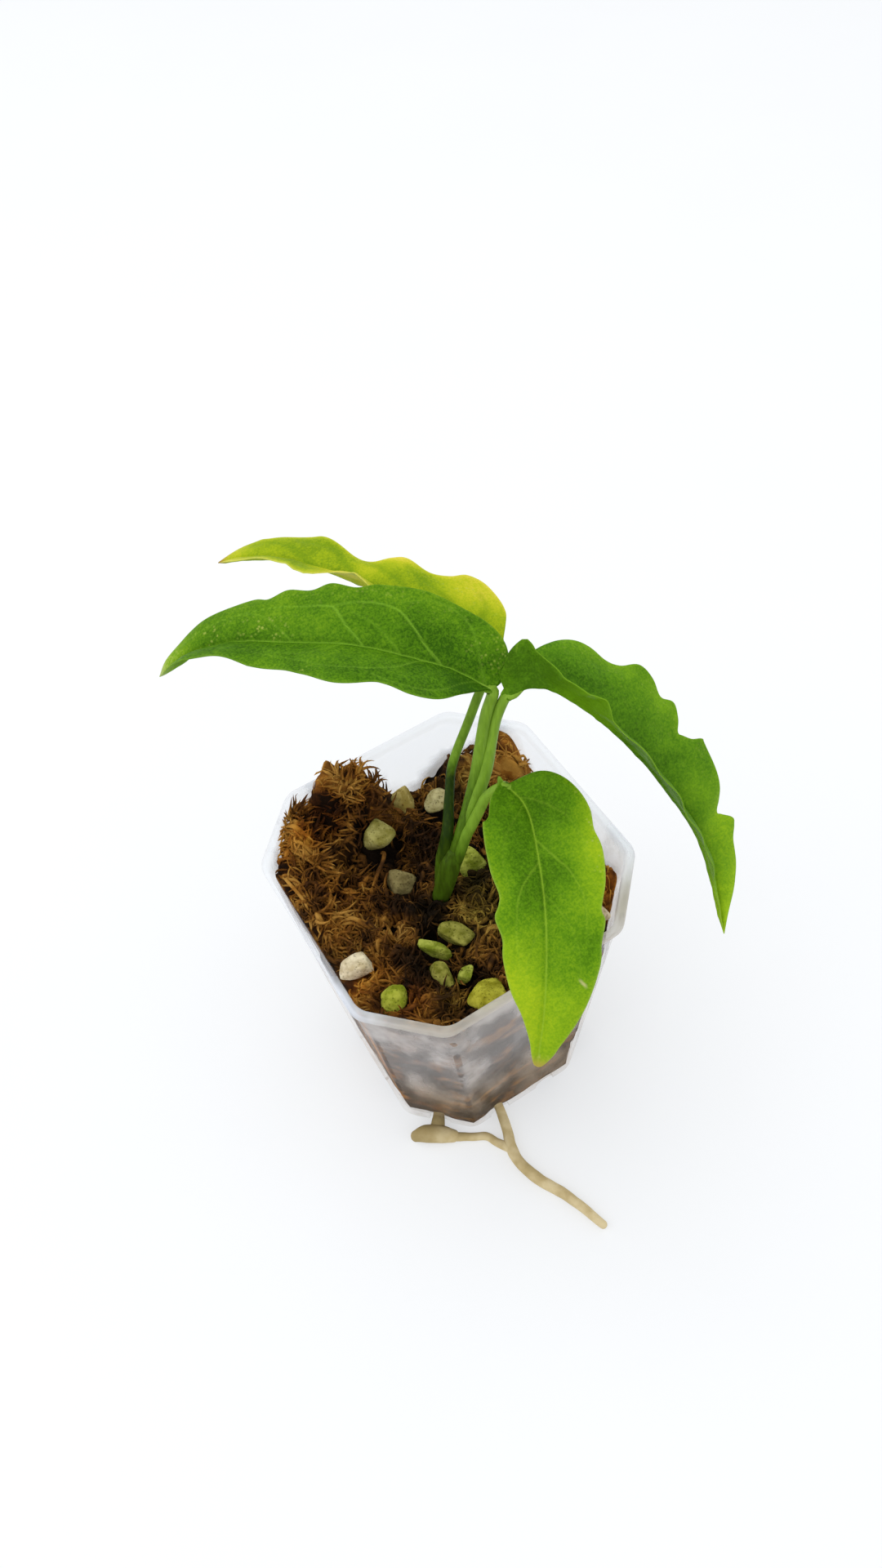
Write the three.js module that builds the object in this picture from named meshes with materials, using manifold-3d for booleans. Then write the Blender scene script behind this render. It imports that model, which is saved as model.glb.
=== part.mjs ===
// A young monstera with four leaves in a clear eight-sided nursery pot, in millimetres, +Z up.
// The origin is the middle of the underside of the pot's floor. The pot's flats face X and Y.
// The stem stands in moss with pumice in its surface, and a root lies in front of the pot (-Y).
import * as THREE from "three";
import { mergeVertices } from "three/addons/utils/BufferGeometryUtils.js";
import Module from "manifold-3d";

const wasm = await Module();
wasm.setup();

// Pot: a square with cut corners, wider at the rim than at the foot
const POT_HEIGHT = 84;
const RIM_HALF = 35;
const RIM_CUT = 13.75;
const FOOT_HALF = 28;
const FOOT_CUT = 13;
const CORNER_RADIUS = 2.2;
const WALL = 0.9;
const FLOOR = 1;
const LIP_WIDTH = 1.7;
const LIP_HEIGHT = 2;
const FOOT_BEVEL = 0.6;
const LIP_EDGE = 0.45;
const SLOT_WIDTH = 5.6;
const SLOT_HEIGHT = 4.4;
const SLOT_REACH_IN = 1.6;
const SLOT_REACH_OUT = 2;
const FLAT_SLOT_OFFSET = 7;

// Gap that every piece keeps from its neighbour, and the wider one around what lies in the moss
const GAP = 0.3;
const MOSS_GAP = 0.4;

// Moss: height of its middle, and what rises or falls from there as [x, y, height, spread x, spread y]
const MOSS_LEVEL = 70;
const MOSS_MOUNDS = [
  [-11, 34, 20, 7, 9],
  [-22, 26, 8, 8, 7],
  [-32, 20, 8, 6, 9],
  [-31, 8, 5, 7, 12],
  [-27, -22, 5, 12, 11],
  [0, -32, 4, 16, 9],
  [30, 23, 14, 4.5, 6],
  [22, 27, 4, 5, 5],
  [9, 33, -5, 6, 7],
  [33, -6, 2, 6, 8],
  [27, -20, -3, 5, 5],
  [-17, 20, -4, 4, 4],
  [-3, 13, -3, 4, 4],
  [30, -20, 6.5, 4, 6],
  [-26, 23, 3, 4, 4],
  [-3.5, 29, 9.5, 4, 4],
  [-25, 30.5, 6.5, 4.5, 4.5],
];
const MOSS_POINTS_PER_SIDE = 5;
const MOSS_RINGS = 10;
const MOSS_EDGE_DROP = 1.2;

// Fine roughness of the moss: its height, and three waves as [rate along x, rate along y, start]
const MOSS_ROUGHNESS = 0.6;
const MOSS_WAVES = [[1.1, 0.4, 0], [0.5, -1.3, 0], [1.7, 1.9, 1]];

// Pumice: where each stone lies, its length, width and height, and its colour
const PUMICE = [
  { at: [-7.9, 18.8, 73.4], size: [8.2, 8.8, 6.7], colour: "khaki" },
  { at: [3.2, 26.8, 69.9], size: [6.5, 7.4, 6], colour: "khaki" },
  { at: [9.8, 22.3, 70.2], size: [7.2, 7.5, 6.2], colour: "pale" },
  { at: [-8.2, 7.4, 70.7], size: [7, 5.6, 5.6], colour: "grey" },
  { at: [7.7, 3.8, 69.3], size: [8, 9.6, 7.2], colour: "olive" },
  { at: [-28.2, -7.1, 73.8], size: [7.8, 5.8, 5.8], colour: "cream", lean: 12 },
  { at: [-24.9, -18.5, 74.7], size: [6.4, 6.6, 6], colour: "lime" },
  { at: [-8, -28.4, 74.1], size: [9, 7, 6.8], colour: "lime" },
  { at: [-11.2, -11.6, 71.5], size: [8.4, 3.8, 5.2], colour: "olive", lean: -48 },
  { at: [-4.7, -11, 70.4], size: [10, 5.2, 6], colour: "moist", lean: -56 },
  { at: [-13, -17.7, 72], size: [7.6, 4.2, 5.2], colour: "moist", lean: -86 },
  { at: [-8.6, -20.9, 71.8], size: [4.4, 3.8, 4.4], colour: "olive", lean: -7 },
  { at: [24.2, -24, 71.4], size: [4, 4.2, 4.6], colour: "cream" },
];
const PUMICE_COLOURS = {
  khaki: 0xb3a86a,
  pale: 0xc2b98c,
  grey: 0x8f8a62,
  olive: 0x8a9c2e,
  cream: 0xd9cdaa,
  lime: 0xb6bf38,
  moist: 0xa3aa55,
};
const PUMICE_DENT = 0.17;
const PUMICE_SWELL = 0.6;
const PUMICE_TURN = [0.6, 0.6, 0.8];
const PUMICE_SEED = 3;
const UPRIGHT = new THREE.Vector3(0, 0, 1);

// Stem and leaf stalks: points with the radius there as [x, y, z, radius]
const STEM_SIDES = 10;
const STEM_STEPS = 8;
const STALK_SIDES = 8;
const STALK_STEPS = 14;
const STEM = [
  [-4.6, 0.6, 60, 1.7],
  [-3.6, 0.1, 65, 1.9],
  [-2.6, -0.3, 70, 2],
  [-1.4, -0.9, 76, 2.2],
  [0.2, -1.5, 84, 2.3],
  [1, -1.8, 88, 1.5],
];
const STALKS = {
  back: [
    [-2.6, 0, 74, 1],
    [-1.2, 0, 84, 1.25],
    [0.7, -0.6, 94, 1.25],
    [3.2, 1.6, 102.8, 1],
    [6, 4.1, 109, 0.95],
    [11.2, 5.8, 116.8, 0.95],
    [16, 7.2, 124, 0.95],
    [20.3, 7.6, 129, 0.95],
  ],
  left: [
    [-2.2, -0.6, 74, 1],
    [0.4, -1.4, 84, 1.3],
    [3, -2.3, 94.3, 1.3],
    [5.5, -2.1, 102.4, 1.2],
    [8, -1.7, 111.4, 1.15],
    [11.1, -1.2, 125.5, 1.15],
    [12.9, -1.5, 132.3, 1.1],
  ],
  right: [
    [-1.8, -1, 74, 1],
    [1.4, -1.8, 84, 1.3],
    [4.9, -2.6, 98.7, 1.3],
    [7.4, -2.6, 105.5, 1.55],
    [9.8, -2.5, 112.1, 1.4],
    [11.7, -2.1, 119.2, 1.1],
    [13, -2, 124.8, 1.05],
    [14.7, -2.8, 130.8, 1.05],
  ],
  front: [
    [-1.6, -1.2, 74, 1],
    [1, -2.4, 84, 1.3],
    [3.5, -3.4, 94.1, 1.3],
    [4.7, -4.2, 98.1, 1.2],
    [6.1, -5.3, 103.8, 1.15],
    [7.4, -6.6, 109.2, 1.1],
    [9.2, -10, 115.3, 1.05],
  ],
};

// Leaf blades. Each has its midrib from stalk to tip and the upward direction at both ends.
// A half is laid out flat: its margin as [along the midrib, width], and its fold up from the
// midrib as [along, degrees]. Its middle is arched, and its margin waves along its length.
const LEAVES = {
  front: {
    midrib: [
      [9.5, -10.5, 116],
      [10, -16.5, 115],
      [7, -24.5, 113],
      [2.5, -33.5, 109.5],
      [-2, -40.5, 105.5],
      [-7, -47, 99.5],
      [-12, -52, 91.5],
    ],
    up: [[-0.1, -0.2, 1], [-0.1, -0.2, 1]],
    fan: 0.2,
    near: {
      side: 1,
      fold: [[0, 12], [55, 8]],
      arch: 0.5,
      wave: [0.3, 14],
      margin: [
        [-2.4, 0], [-0.8, 1.8], [0.8, 5], [2.8, 7.3], [5.5, 8.9], [12, 9.6], [18, 9.5], [22.5, 8.3],
        [24.5, 8.5], [27.3, 9.4], [31.5, 8.2], [35, 8], [41, 6.4], [45.5, 4.1], [50.5, 2.1],
      ],
    },
    far: {
      side: -1,
      fold: [[0, 12], [55, 8]],
      arch: 0.6,
      wave: [0.3, 12],
      margin: [
        [0.5, 2], [2, 5.2], [4, 8], [6.5, 10.2], [9.5, 11.2], [13, 11.1], [16.7, 11.9], [22, 11.5],
        [26.5, 10.3], [28.5, 10.8], [32, 10], [36, 9.7], [43, 7.4], [50, 3.9],
      ],
    },
  },
  left: {
    midrib: [
      [13, -1.5, 133],
      [8.5, 3.5, 136.5],
      [2, 8.5, 140],
      [-6.5, 15, 143],
      [-15, 21, 143.5],
      [-23, 27.5, 143],
      [-30.5, 32.5, 140],
      [-37.3, 36.5, 134.2],
    ],
    up: [[0, 0, 1], [0, 0, 1]],
    fan: 0.16,
    near: {
      side: -1,
      fold: [[0, 17], [44, 17], [58, 38], [67, 33]],
      arch: 0.6,
      wave: [0.3, 15],
      margin: [
        [-1, 0.3], [2, 2], [5, 5.4], [9.5, 9.2], [13, 11.1], [16.5, 11.7], [20.5, 10.6], [23, 10.5],
        [29.5, 12.5], [34.5, 10.8], [38, 9], [42, 8.4], [46, 7.8], [51, 6.3], [58, 4.3], [63, 2.5],
      ],
    },
    far: {
      side: 1,
      fold: [[0, 17], [67, 10]],
      arch: 0.8,
      wave: [0.3, 13],
      margin: [
        [-1, 2.5], [-0.8, 5.4], [0, 7.7], [2.8, 9.8], [7.5, 12], [12.5, 13.4], [18.9, 13.6],
        [24.5, 13], [28, 11.5], [32, 12.2], [35.5, 11], [40.5, 10.7], [44, 8.6], [47, 8.6],
        [54.5, 6.3], [60.5, 4.4], [65.5, 2.5],
      ],
    },
  },
  right: {
    midrib: [
      [15, -3, 131.5],
      [17.5, -4.5, 134.5],
      [20, -7, 135.5],
      [23.5, -10.5, 133.5],
      [28, -15, 128],
      [32.5, -20, 120.5],
      [36.5, -25, 111.5],
      [40, -31, 101.5],
      [41.5, -36, 92],
      [40.5, -45, 77],
    ],
    up: [[0.15, 0.5, 0.85], [0.5, -0.7, 0.6]],
    fan: 0.14,
    near: {
      side: 1,
      fold: [
        [0, 55], [4, 55], [6.5, 80], [8, 56], [10, 36], [13, 27], [15.5, 29], [18, 19], [31, 22],
        [42, 27], [52, 31], [83, 31],
      ],
      arch: 0.4,
      wave: [0.3, 12],
      margin: [
        [-0.5, 1.2], [3.2, 2.5], [5.2, 5.5], [5.8, 7.4], [6.2, 9.2], [6.9, 9], [7.3, 8], [8.2, 8.4],
        [10, 9.5], [15, 10.5], [20, 10.5], [30, 11], [40, 10.5], [50, 9], [60, 7], [70, 4.5], [78, 2],
      ],
    },
    far: {
      side: -1,
      fold: [[0, 30], [40, 40], [83, 40]],
      arch: 0.8,
      wave: [0.3, 12],
      margin: [
        [1.5, 4], [5.7, 7.3], [8.5, 10], [11.5, 11.6], [15, 12], [19, 11.6], [22, 12.4], [25.2, 14.6],
        [29, 13.8], [31.5, 12.3], [34.3, 13.1], [36.5, 11.5], [38.3, 9.1], [43.2, 12], [48, 10.8],
        [53.2, 8.8], [56, 6.1], [59.9, 8.2], [67.5, 6], [75, 3.5],
      ],
    },
  },
  back: {
    midrib: [
      [20.5, 7.5, 129.5],
      [16, 16, 133],
      [9.5, 25.5, 136.5],
      [2, 36, 139],
      [-5.5, 45, 140],
      [-11, 50.5, 139],
      [-15.5, 55.5, 136.3],
    ],
    up: [[0.33, 0.26, 0.9], [0.33, 0.26, 0.9]],
    fan: 0.14,
    near: {
      side: -1,
      fold: [
        [0, 2], [18, 4], [27, 22], [30.5, 34], [33.5, 28], [38, 11], [40, 7], [42.3, 10], [44, 18],
        [48, 16], [52, 12], [62, 6],
      ],
      arch: 0.4,
      wave: [0.3, 12],
      margin: [
        [-1, 2], [0, 6], [4, 9.5], [10, 10.5], [16, 10], [22, 9], [30, 7.7], [36, 8], [41, 7], [45, 6],
        [50, 5], [56, 3],
      ],
    },
    far: {
      side: 1,
      fold: [[0, 25], [62, 20]],
      arch: 0.6,
      wave: [0.3, 12],
      margin: [
        [-0.5, 1.5], [1.9, 4.1], [4.2, 9], [9.5, 12.7], [13.3, 12.5], [16, 10.2], [19.5, 9.2],
        [25, 9.9], [28, 8.3], [31, 5.8], [34.5, 5.7], [41.2, 8.3], [44.4, 7.7], [50.8, 5.5],
        [54.2, 5.5], [58.5, 4.5],
      ],
    },
  },
};
const BLADE_THICKNESS = 0.65;
const KEEL_BASE = 1.3;
const KEEL_TIP = 0.8;
const BLADE_ROWS = 40;
const BLADE_COLUMNS = 3;
const FULL_WAVE_WIDTH = 6;

// Roots as [x, y, z, radius]: two from under the stem out of the drain slots, and the knotted end
const ROOT_SIDES = 8;
const ROOT_TO_FLAT = [
  [-4.8, 0.6, 54, 1.2],
  [-5, -8, 38, 1.2],
  [-7, -20, 16, 1.2],
  [-7, -24.5, 5.5, 1.2],
  [-7.1, -28, 2.3, 1.2],
  [-8.4, -33.4, 1.5, 1.3],
  [-10, -37.7, 1.5, 1.4],
  [-10.3, -42.2, 1.5, 1.4],
  [-8.5, -48.4, 1.5, 1.4],
  [-5.7, -54, 1.5, 1.3],
  [-3.3, -60.1, 1.4, 1.2],
  [-1.5, -65.6, 1.2, 1],
];
const ROOT_TO_CORNER = [
  [-4.6, 0.6, 53, 1.2],
  [-12, -6, 34, 1.2],
  [-18, -15, 12, 1.2],
  [-20.5, -19.5, 3.4, 1.3],
  [-22.6, -22.4, 2.5, 1.7],
  [-24.4, -24.4, 2.4, 2],
];
const ROOT_KNOT = [
  [-29, -22, 1.7, 1.5],
  [-26.8, -23, 2.4, 2.2],
  [-24, -24.8, 2.5, 2.3],
  [-21, -27.2, 1.8, 1.6],
];
const ROOT_LINK = [
  [-21.5, -27, 1.5, 1.2],
  [-17.5, -29.6, 1.2, 1.05],
  [-13.8, -31.8, 1.2, 1.05],
  [-12.4, -34.4, 1.2, 1.05],
  [-10.2, -38, 1.4, 1.2],
];

// A closed mesh's points are the same point within this distance
const WELD = 1e-4;

const MATERIALS = {
  pot: new THREE.MeshStandardMaterial({ color: 0xe6e9ee, roughness: 0.35, metalness: 0 }),
  moss: new THREE.MeshStandardMaterial({ color: 0x6b4320, roughness: 1, metalness: 0 }),
  stem: new THREE.MeshStandardMaterial({ color: 0x5f9421, roughness: 0.5, metalness: 0 }),
  left: new THREE.MeshStandardMaterial({ color: 0x3f8310, roughness: 0.45, metalness: 0 }),
  right: new THREE.MeshStandardMaterial({ color: 0x4a8c18, roughness: 0.45, metalness: 0 }),
  front: new THREE.MeshStandardMaterial({ color: 0x6aa314, roughness: 0.45, metalness: 0 }),
  back: new THREE.MeshStandardMaterial({ color: 0x9ab41c, roughness: 0.45, metalness: 0 }),
  root: new THREE.MeshStandardMaterial({ color: 0x9a8650, roughness: 0.9, metalness: 0 }),
};

const plant = new THREE.Group();

// Closed geometry to solid, and solid to named mesh
function solidOf(geometry) {
  const bare = new THREE.BufferGeometry();
  bare.setAttribute("position", geometry.getAttribute("position"));
  bare.setIndex(geometry.getIndex());
  const merged = mergeVertices(bare, WELD);
  const corners = merged.getIndex().array;
  const kept = [];
  for (let i = 0; i < corners.length; i += 3) {
    const [a, b, c] = [corners[i], corners[i + 1], corners[i + 2]];
    if (a !== b && b !== c && c !== a) kept.push(a, b, c);
  }
  const mesh = new wasm.Mesh({
    numProp: 3,
    vertProperties: new Float32Array(merged.getAttribute("position").array),
    triVerts: new Uint32Array(kept),
  });
  return new wasm.Manifold(mesh);
}

function addMesh(name, solid, material) {
  const made = solid.getMesh();
  const geometry = new THREE.BufferGeometry();
  const place = new THREE.BufferAttribute(new Float32Array(made.vertProperties), 3);
  geometry.setAttribute("position", place);
  geometry.setIndex(new THREE.BufferAttribute(new Uint32Array(made.triVerts), 1));
  geometry.computeVertexNormals();
  const mesh = new THREE.Mesh(geometry, material);
  mesh.name = name;
  plant.add(mesh);
}

function indexed(points, triangles) {
  const geometry = new THREE.BufferGeometry();
  const place = new THREE.Float32BufferAttribute(points.flatMap((p) => [p.x, p.y, p.z]), 3);
  geometry.setAttribute("position", place);
  geometry.setIndex(triangles);
  return geometry;
}

// Even numbers between 0 and 1 that are the same in each run
function seeded(seed) {
  let state = seed;
  return () => {
    state = (state * 1664525 + 1013904223) % 4294967296;
    return state / 4294967296;
  };
}

function curveThrough(points) {
  const curve = new THREE.CatmullRomCurve3(
    points.map(([x, y, z]) => new THREE.Vector3(x, y, z)),
    false,
    "catmullrom",
    0.5,
  );
  curve.arcLengthDivisions = 400;
  return curve;
}

// A closed solid from rings of equal count, stacked in order, with a flat cap at each end
function stacked(rings) {
  const count = rings[0].length;
  const points = rings.flat();
  const triangles = [];
  for (let ring = 0; ring + 1 < rings.length; ring += 1) {
    for (let i = 0; i < count; i += 1) {
      const a = ring * count + i;
      const b = ring * count + ((i + 1) % count);
      triangles.push(a, b, b + count, a, b + count, a + count);
    }
  }
  for (const [first, turn] of [[0, -1], [(rings.length - 1) * count, 1]]) {
    const ring = points.slice(first, first + count);
    const middle = ring.reduce((sum, p) => sum.add(p), new THREE.Vector3()).divideScalar(count);
    const centre = points.push(middle) - 1;
    for (let i = 0; i < count; i += 1) {
      const pair = [first + i, first + ((i + 1) % count)];
      if (turn < 0) pair.reverse();
      triangles.push(centre, ...pair);
    }
  }
  return solidOf(indexed(points, triangles));
}

// A round rod along [x, y, z, radius] points
function rod(points, sides, steps, extra = 0) {
  const curve = curveThrough(points);
  const frames = curve.computeFrenetFrames(steps, false);
  const radii = new THREE.CatmullRomCurve3(
    points.map((p, i) => new THREE.Vector3(p[3], i, 0)),
    false,
    "catmullrom",
    0.5,
  );
  const rings = [];
  for (let step = 0; step <= steps; step += 1) {
    const along = curve.getUtoTmapping(step / steps);
    const centre = curve.getPoint(along);
    const radius = radii.getPoint(along).x + extra;
    const ring = [];
    for (let side = 0; side < sides; side += 1) {
      const angle = (2 * Math.PI * side) / sides;
      const spoke = frames.normals[step].clone().multiplyScalar(Math.cos(angle) * radius);
      spoke.addScaledVector(frames.binormals[step], Math.sin(angle) * radius);
      ring.push(centre.clone().add(spoke));
    }
    rings.push(ring);
  }
  return stacked(rings);
}

// Square with cut, rounded corners at one height, pulled in by an inset, with points on each side
function octagon(half, cut, inset, z, perSide = 1) {
  const h = half - inset;
  const k = h - (cut - (2 - Math.SQRT2) * inset);
  const corners = [[h, -k], [h, k], [k, h], [-k, h], [-h, k], [-h, -k], [-k, -h], [k, -h]];
  const ring = [];
  corners.forEach((corner, i) => {
    const here = new THREE.Vector3(...corner, z);
    const before = new THREE.Vector3(...corners[(i + 7) % 8], z);
    const after = new THREE.Vector3(...corners[(i + 1) % 8], z);
    const start = here.clone().add(before.sub(here).setLength(CORNER_RADIUS));
    const end = here.clone().add(after.clone().sub(here).setLength(CORNER_RADIUS));
    const bend = new THREE.QuadraticBezierCurve3(start, here, end);
    ring.push(...bend.getPoints(2));
    const next = after.clone().add(here.clone().sub(after).setLength(CORNER_RADIUS));
    for (let part = 1; part < perSide; part += 1) {
      ring.push(end.clone().lerp(next, part / perSide));
    }
  });
  return ring;
}

// Half width and corner cut of the pot's outer wall at a height
const WALL_TOP_HALF = RIM_HALF - LIP_WIDTH + WALL;
function wallAt(z) {
  const up = z / POT_HEIGHT;
  return [FOOT_HALF + (WALL_TOP_HALF - FOOT_HALF) * up, FOOT_CUT + (RIM_CUT - FOOT_CUT) * up];
}

// A drain slot through the foot of the wall, with a round top, facing the given way
function drainSlot(turn, distance, offset) {
  const radius = SLOT_WIDTH / 2;
  const outline = new THREE.Shape();
  outline.moveTo(-radius, -SLOT_REACH_OUT);
  outline.lineTo(radius, -SLOT_REACH_OUT);
  outline.lineTo(radius, SLOT_HEIGHT - radius);
  outline.absarc(0, SLOT_HEIGHT - radius, radius, 0, Math.PI, false);
  outline.closePath();
  const depth = SLOT_REACH_IN + SLOT_REACH_OUT;
  const slot = new THREE.ExtrudeGeometry(outline, { depth, bevelEnabled: false, curveSegments: 4 });
  slot.rotateX(Math.PI / 2);
  slot.translate(offset, SLOT_REACH_IN - distance, 0);
  slot.rotateZ(turn);
  return solidOf(slot);
}

function makePot() {
  const rings = [
    octagon(FOOT_HALF, FOOT_CUT, FOOT_BEVEL, 0),
    octagon(...wallAt(FOOT_BEVEL), 0, FOOT_BEVEL),
    octagon(...wallAt(POT_HEIGHT - LIP_HEIGHT), 0, POT_HEIGHT - LIP_HEIGHT),
    octagon(RIM_HALF, RIM_CUT, 0, POT_HEIGHT - LIP_HEIGHT),
    octagon(RIM_HALF, RIM_CUT, 0, POT_HEIGHT - LIP_EDGE),
    octagon(RIM_HALF, RIM_CUT, LIP_EDGE, POT_HEIGHT),
    octagon(...wallAt(POT_HEIGHT), WALL, POT_HEIGHT),
    octagon(...wallAt(FLOOR), WALL, FLOOR),
  ];
  let pot = stacked(rings);
  const cornerDistance = (2 * FOOT_HALF - FOOT_CUT) / Math.SQRT2;
  for (let quarter = 0; quarter < 4; quarter += 1) {
    const turn = (quarter * Math.PI) / 2;
    pot = pot.subtract(drainSlot(turn, FOOT_HALF, FLAT_SLOT_OFFSET));
    pot = pot.subtract(drainSlot(turn, FOOT_HALF, -FLAT_SLOT_OFFSET));
    pot = pot.subtract(drainSlot(turn + Math.PI / 4, cornerDistance, 0));
  }
  addMesh("pot", pot, MATERIALS.pot);
}

// Height of the moss: its level, its mounds and its fine roughness
function mossHeight(x, y) {
  let height = MOSS_LEVEL;
  for (const [mx, my, rise, sx, sy] of MOSS_MOUNDS) {
    height += rise * Math.exp(-(((x - mx) / sx) ** 2) - ((y - my) / sy) ** 2);
  }
  for (const [alongX, alongY, start] of MOSS_WAVES) {
    height += MOSS_ROUGHNESS * Math.sin(alongX * x + alongY * y + start);
  }
  return height;
}

// A stone: a seeded, dented icosahedron, grown by an extra all round for the dimple it lies in.
// A long stone is stretched first and then leans by its own angle, and the others tumble freely.
function stone(index, extra = 0) {
  const { at, size, lean } = PUMICE[index];
  const random = seeded(index + PUMICE_SEED);
  const faces = new THREE.IcosahedronGeometry(1, 1);
  const ball = mergeVertices(faces.deleteAttribute("normal").deleteAttribute("uv"));
  const turn = new THREE.Euler(...PUMICE_TURN.map((most) => random() * most));
  const reach = new THREE.Vector3(...size.map((across) => across / 2 + extra));
  const place = ball.getAttribute("position");
  const point = new THREE.Vector3();
  for (let i = 0; i < place.count; i += 1) {
    point.fromBufferAttribute(place, i);
    const dent = 1 - PUMICE_DENT * (2 * random() - PUMICE_SWELL);
    point.multiplyScalar(dent);
    if (lean === undefined) {
      point.multiply(reach).applyEuler(turn);
    } else {
      point.applyEuler(turn).multiply(reach).applyAxisAngle(UPRIGHT, THREE.MathUtils.degToRad(lean));
    }
    place.setXYZ(i, point.x + at[0], point.y + at[1], point.z + at[2]);
  }
  return solidOf(ball);
}

function rootSolid(extra) {
  const flat = rod(ROOT_TO_FLAT, ROOT_SIDES, 30, extra);
  const corner = rod(ROOT_TO_CORNER, ROOT_SIDES, 16, extra);
  const knot = rod(ROOT_KNOT, ROOT_SIDES, 6, extra);
  const link = rod(ROOT_LINK, ROOT_SIDES, 10, extra);
  return flat.add(corner).add(knot).add(link);
}

function stemSolid() {
  let stem = rod(STEM, STEM_SIDES, STEM_STEPS);
  for (const points of Object.values(STALKS)) {
    stem = stem.add(rod(points, STALK_SIDES, STALK_STEPS));
  }
  return stem;
}

function makeMoss() {
  const wallRing = (z) => {
    const wall = wallAt(Math.min(z, POT_HEIGHT));
    return octagon(...wall, WALL + GAP, z, MOSS_POINTS_PER_SIDE);
  };
  const rim = wallRing(MOSS_LEVEL).map((p, i) => {
    const height = mossHeight(p.x, p.y) - MOSS_EDGE_DROP;
    return wallRing(height)[i];
  });
  const rings = [wallRing(FLOOR + GAP), rim];
  for (let step = 1; step < MOSS_RINGS; step += 1) {
    const share = 1 - step / MOSS_RINGS;
    rings.push(
      rim.map((p) => {
        const x = p.x * share;
        const y = p.y * share;
        return new THREE.Vector3(x, y, mossHeight(x, y));
      }),
    );
  }
  let moss = stacked(rings);
  moss = moss.subtract(rod(STEM, STEM_SIDES, STEM_STEPS, MOSS_GAP));
  moss = moss.subtract(rootSolid(MOSS_GAP));
  PUMICE.forEach((_, index) => {
    moss = moss.subtract(stone(index, MOSS_GAP));
  });
  addMesh("moss", moss, MATERIALS.moss);
}

function makePumice() {
  PUMICE.forEach(({ colour }, index) => {
    const name = "pumice_" + String(index + 1).padStart(2, "0");
    const look = { color: PUMICE_COLOURS[colour], roughness: 0.95, metalness: 0 };
    addMesh(name, stone(index), new THREE.MeshStandardMaterial(look));
  });
}

// Value at a place in a list of [place, value] pairs, straight between them
function between(pairs, place) {
  const last = pairs.length - 1;
  if (place <= pairs[0][0]) return pairs[0][1];
  if (place >= pairs[last][0]) return pairs[last][1];
  const next = pairs.findIndex((pair) => pair[0] > place);
  const [[a, va], [b, vb]] = [pairs[next - 1], pairs[next]];
  return va + ((vb - va) * (place - a)) / (b - a);
}

// The midrib's point, its forward, upward and rightward directions at a length along it.
// Before the first and past the last point it goes straight on.
function midribFrame(leaf, midrib, length, along) {
  const share = Math.min(Math.max(along / length, 0), 1);
  const ahead = midrib.getTangentAt(share);
  const point = midrib.getPointAt(share).addScaledVector(ahead, along - share * length);
  const up = new THREE.Vector3(...leaf.up[0]).lerp(new THREE.Vector3(...leaf.up[1]), share);
  up.addScaledVector(ahead, -up.dot(ahead)).normalize();
  return { point, up, right: new THREE.Vector3().crossVectors(ahead, up) };
}

// One half of a blade as rows of columns from the midrib to the margin: a point and its face normal.
// Grown by some clearance, the half reaches further out and past both ends of the midrib.
function bladeHalf(leaf, half, midrib, length, grown) {
  const start = -2 * grown;
  const end = length + grown;
  const outline = curveThrough([[start, 0, 0], ...half.margin.map((at) => [...at, 0]), [end, 0, 0]]);
  const rows = [];
  for (let row = 0; row <= BLADE_ROWS; row += 1) {
    const share = row / BLADE_ROWS;
    const edge = outline.getPointAt(share);
    const foot = start + (end - start) * Math.max(0, (share - leaf.fan) / (1 - leaf.fan));
    const breadth = Math.min(1, edge.y / FULL_WAVE_WIDTH);
    const line = [];
    for (let column = 0; column <= BLADE_COLUMNS; column += 1) {
      const out = column / BLADE_COLUMNS;
      const along = foot + (edge.x - foot) * out;
      const width = (edge.y + grown) * out;
      const wave = half.wave[0] * out * out * Math.sin((2 * Math.PI * along) / half.wave[1]);
      const rise = (half.arch * 4 * out * (1 - out) + wave) * breadth;
      const fold = THREE.MathUtils.degToRad(between(half.fold, along));
      const { point, up, right } = midribFrame(leaf, midrib, length, along);
      const outward = right.clone().multiplyScalar(half.side * Math.cos(fold));
      outward.addScaledVector(up, Math.sin(fold));
      const normal = up.clone().multiplyScalar(Math.cos(fold));
      normal.addScaledVector(right, -half.side * Math.sin(fold));
      point.addScaledVector(outward, width).addScaledVector(normal, rise);
      line.push({ point, normal, along });
    }
    rows.push(line);
  }
  return rows;
}

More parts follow.
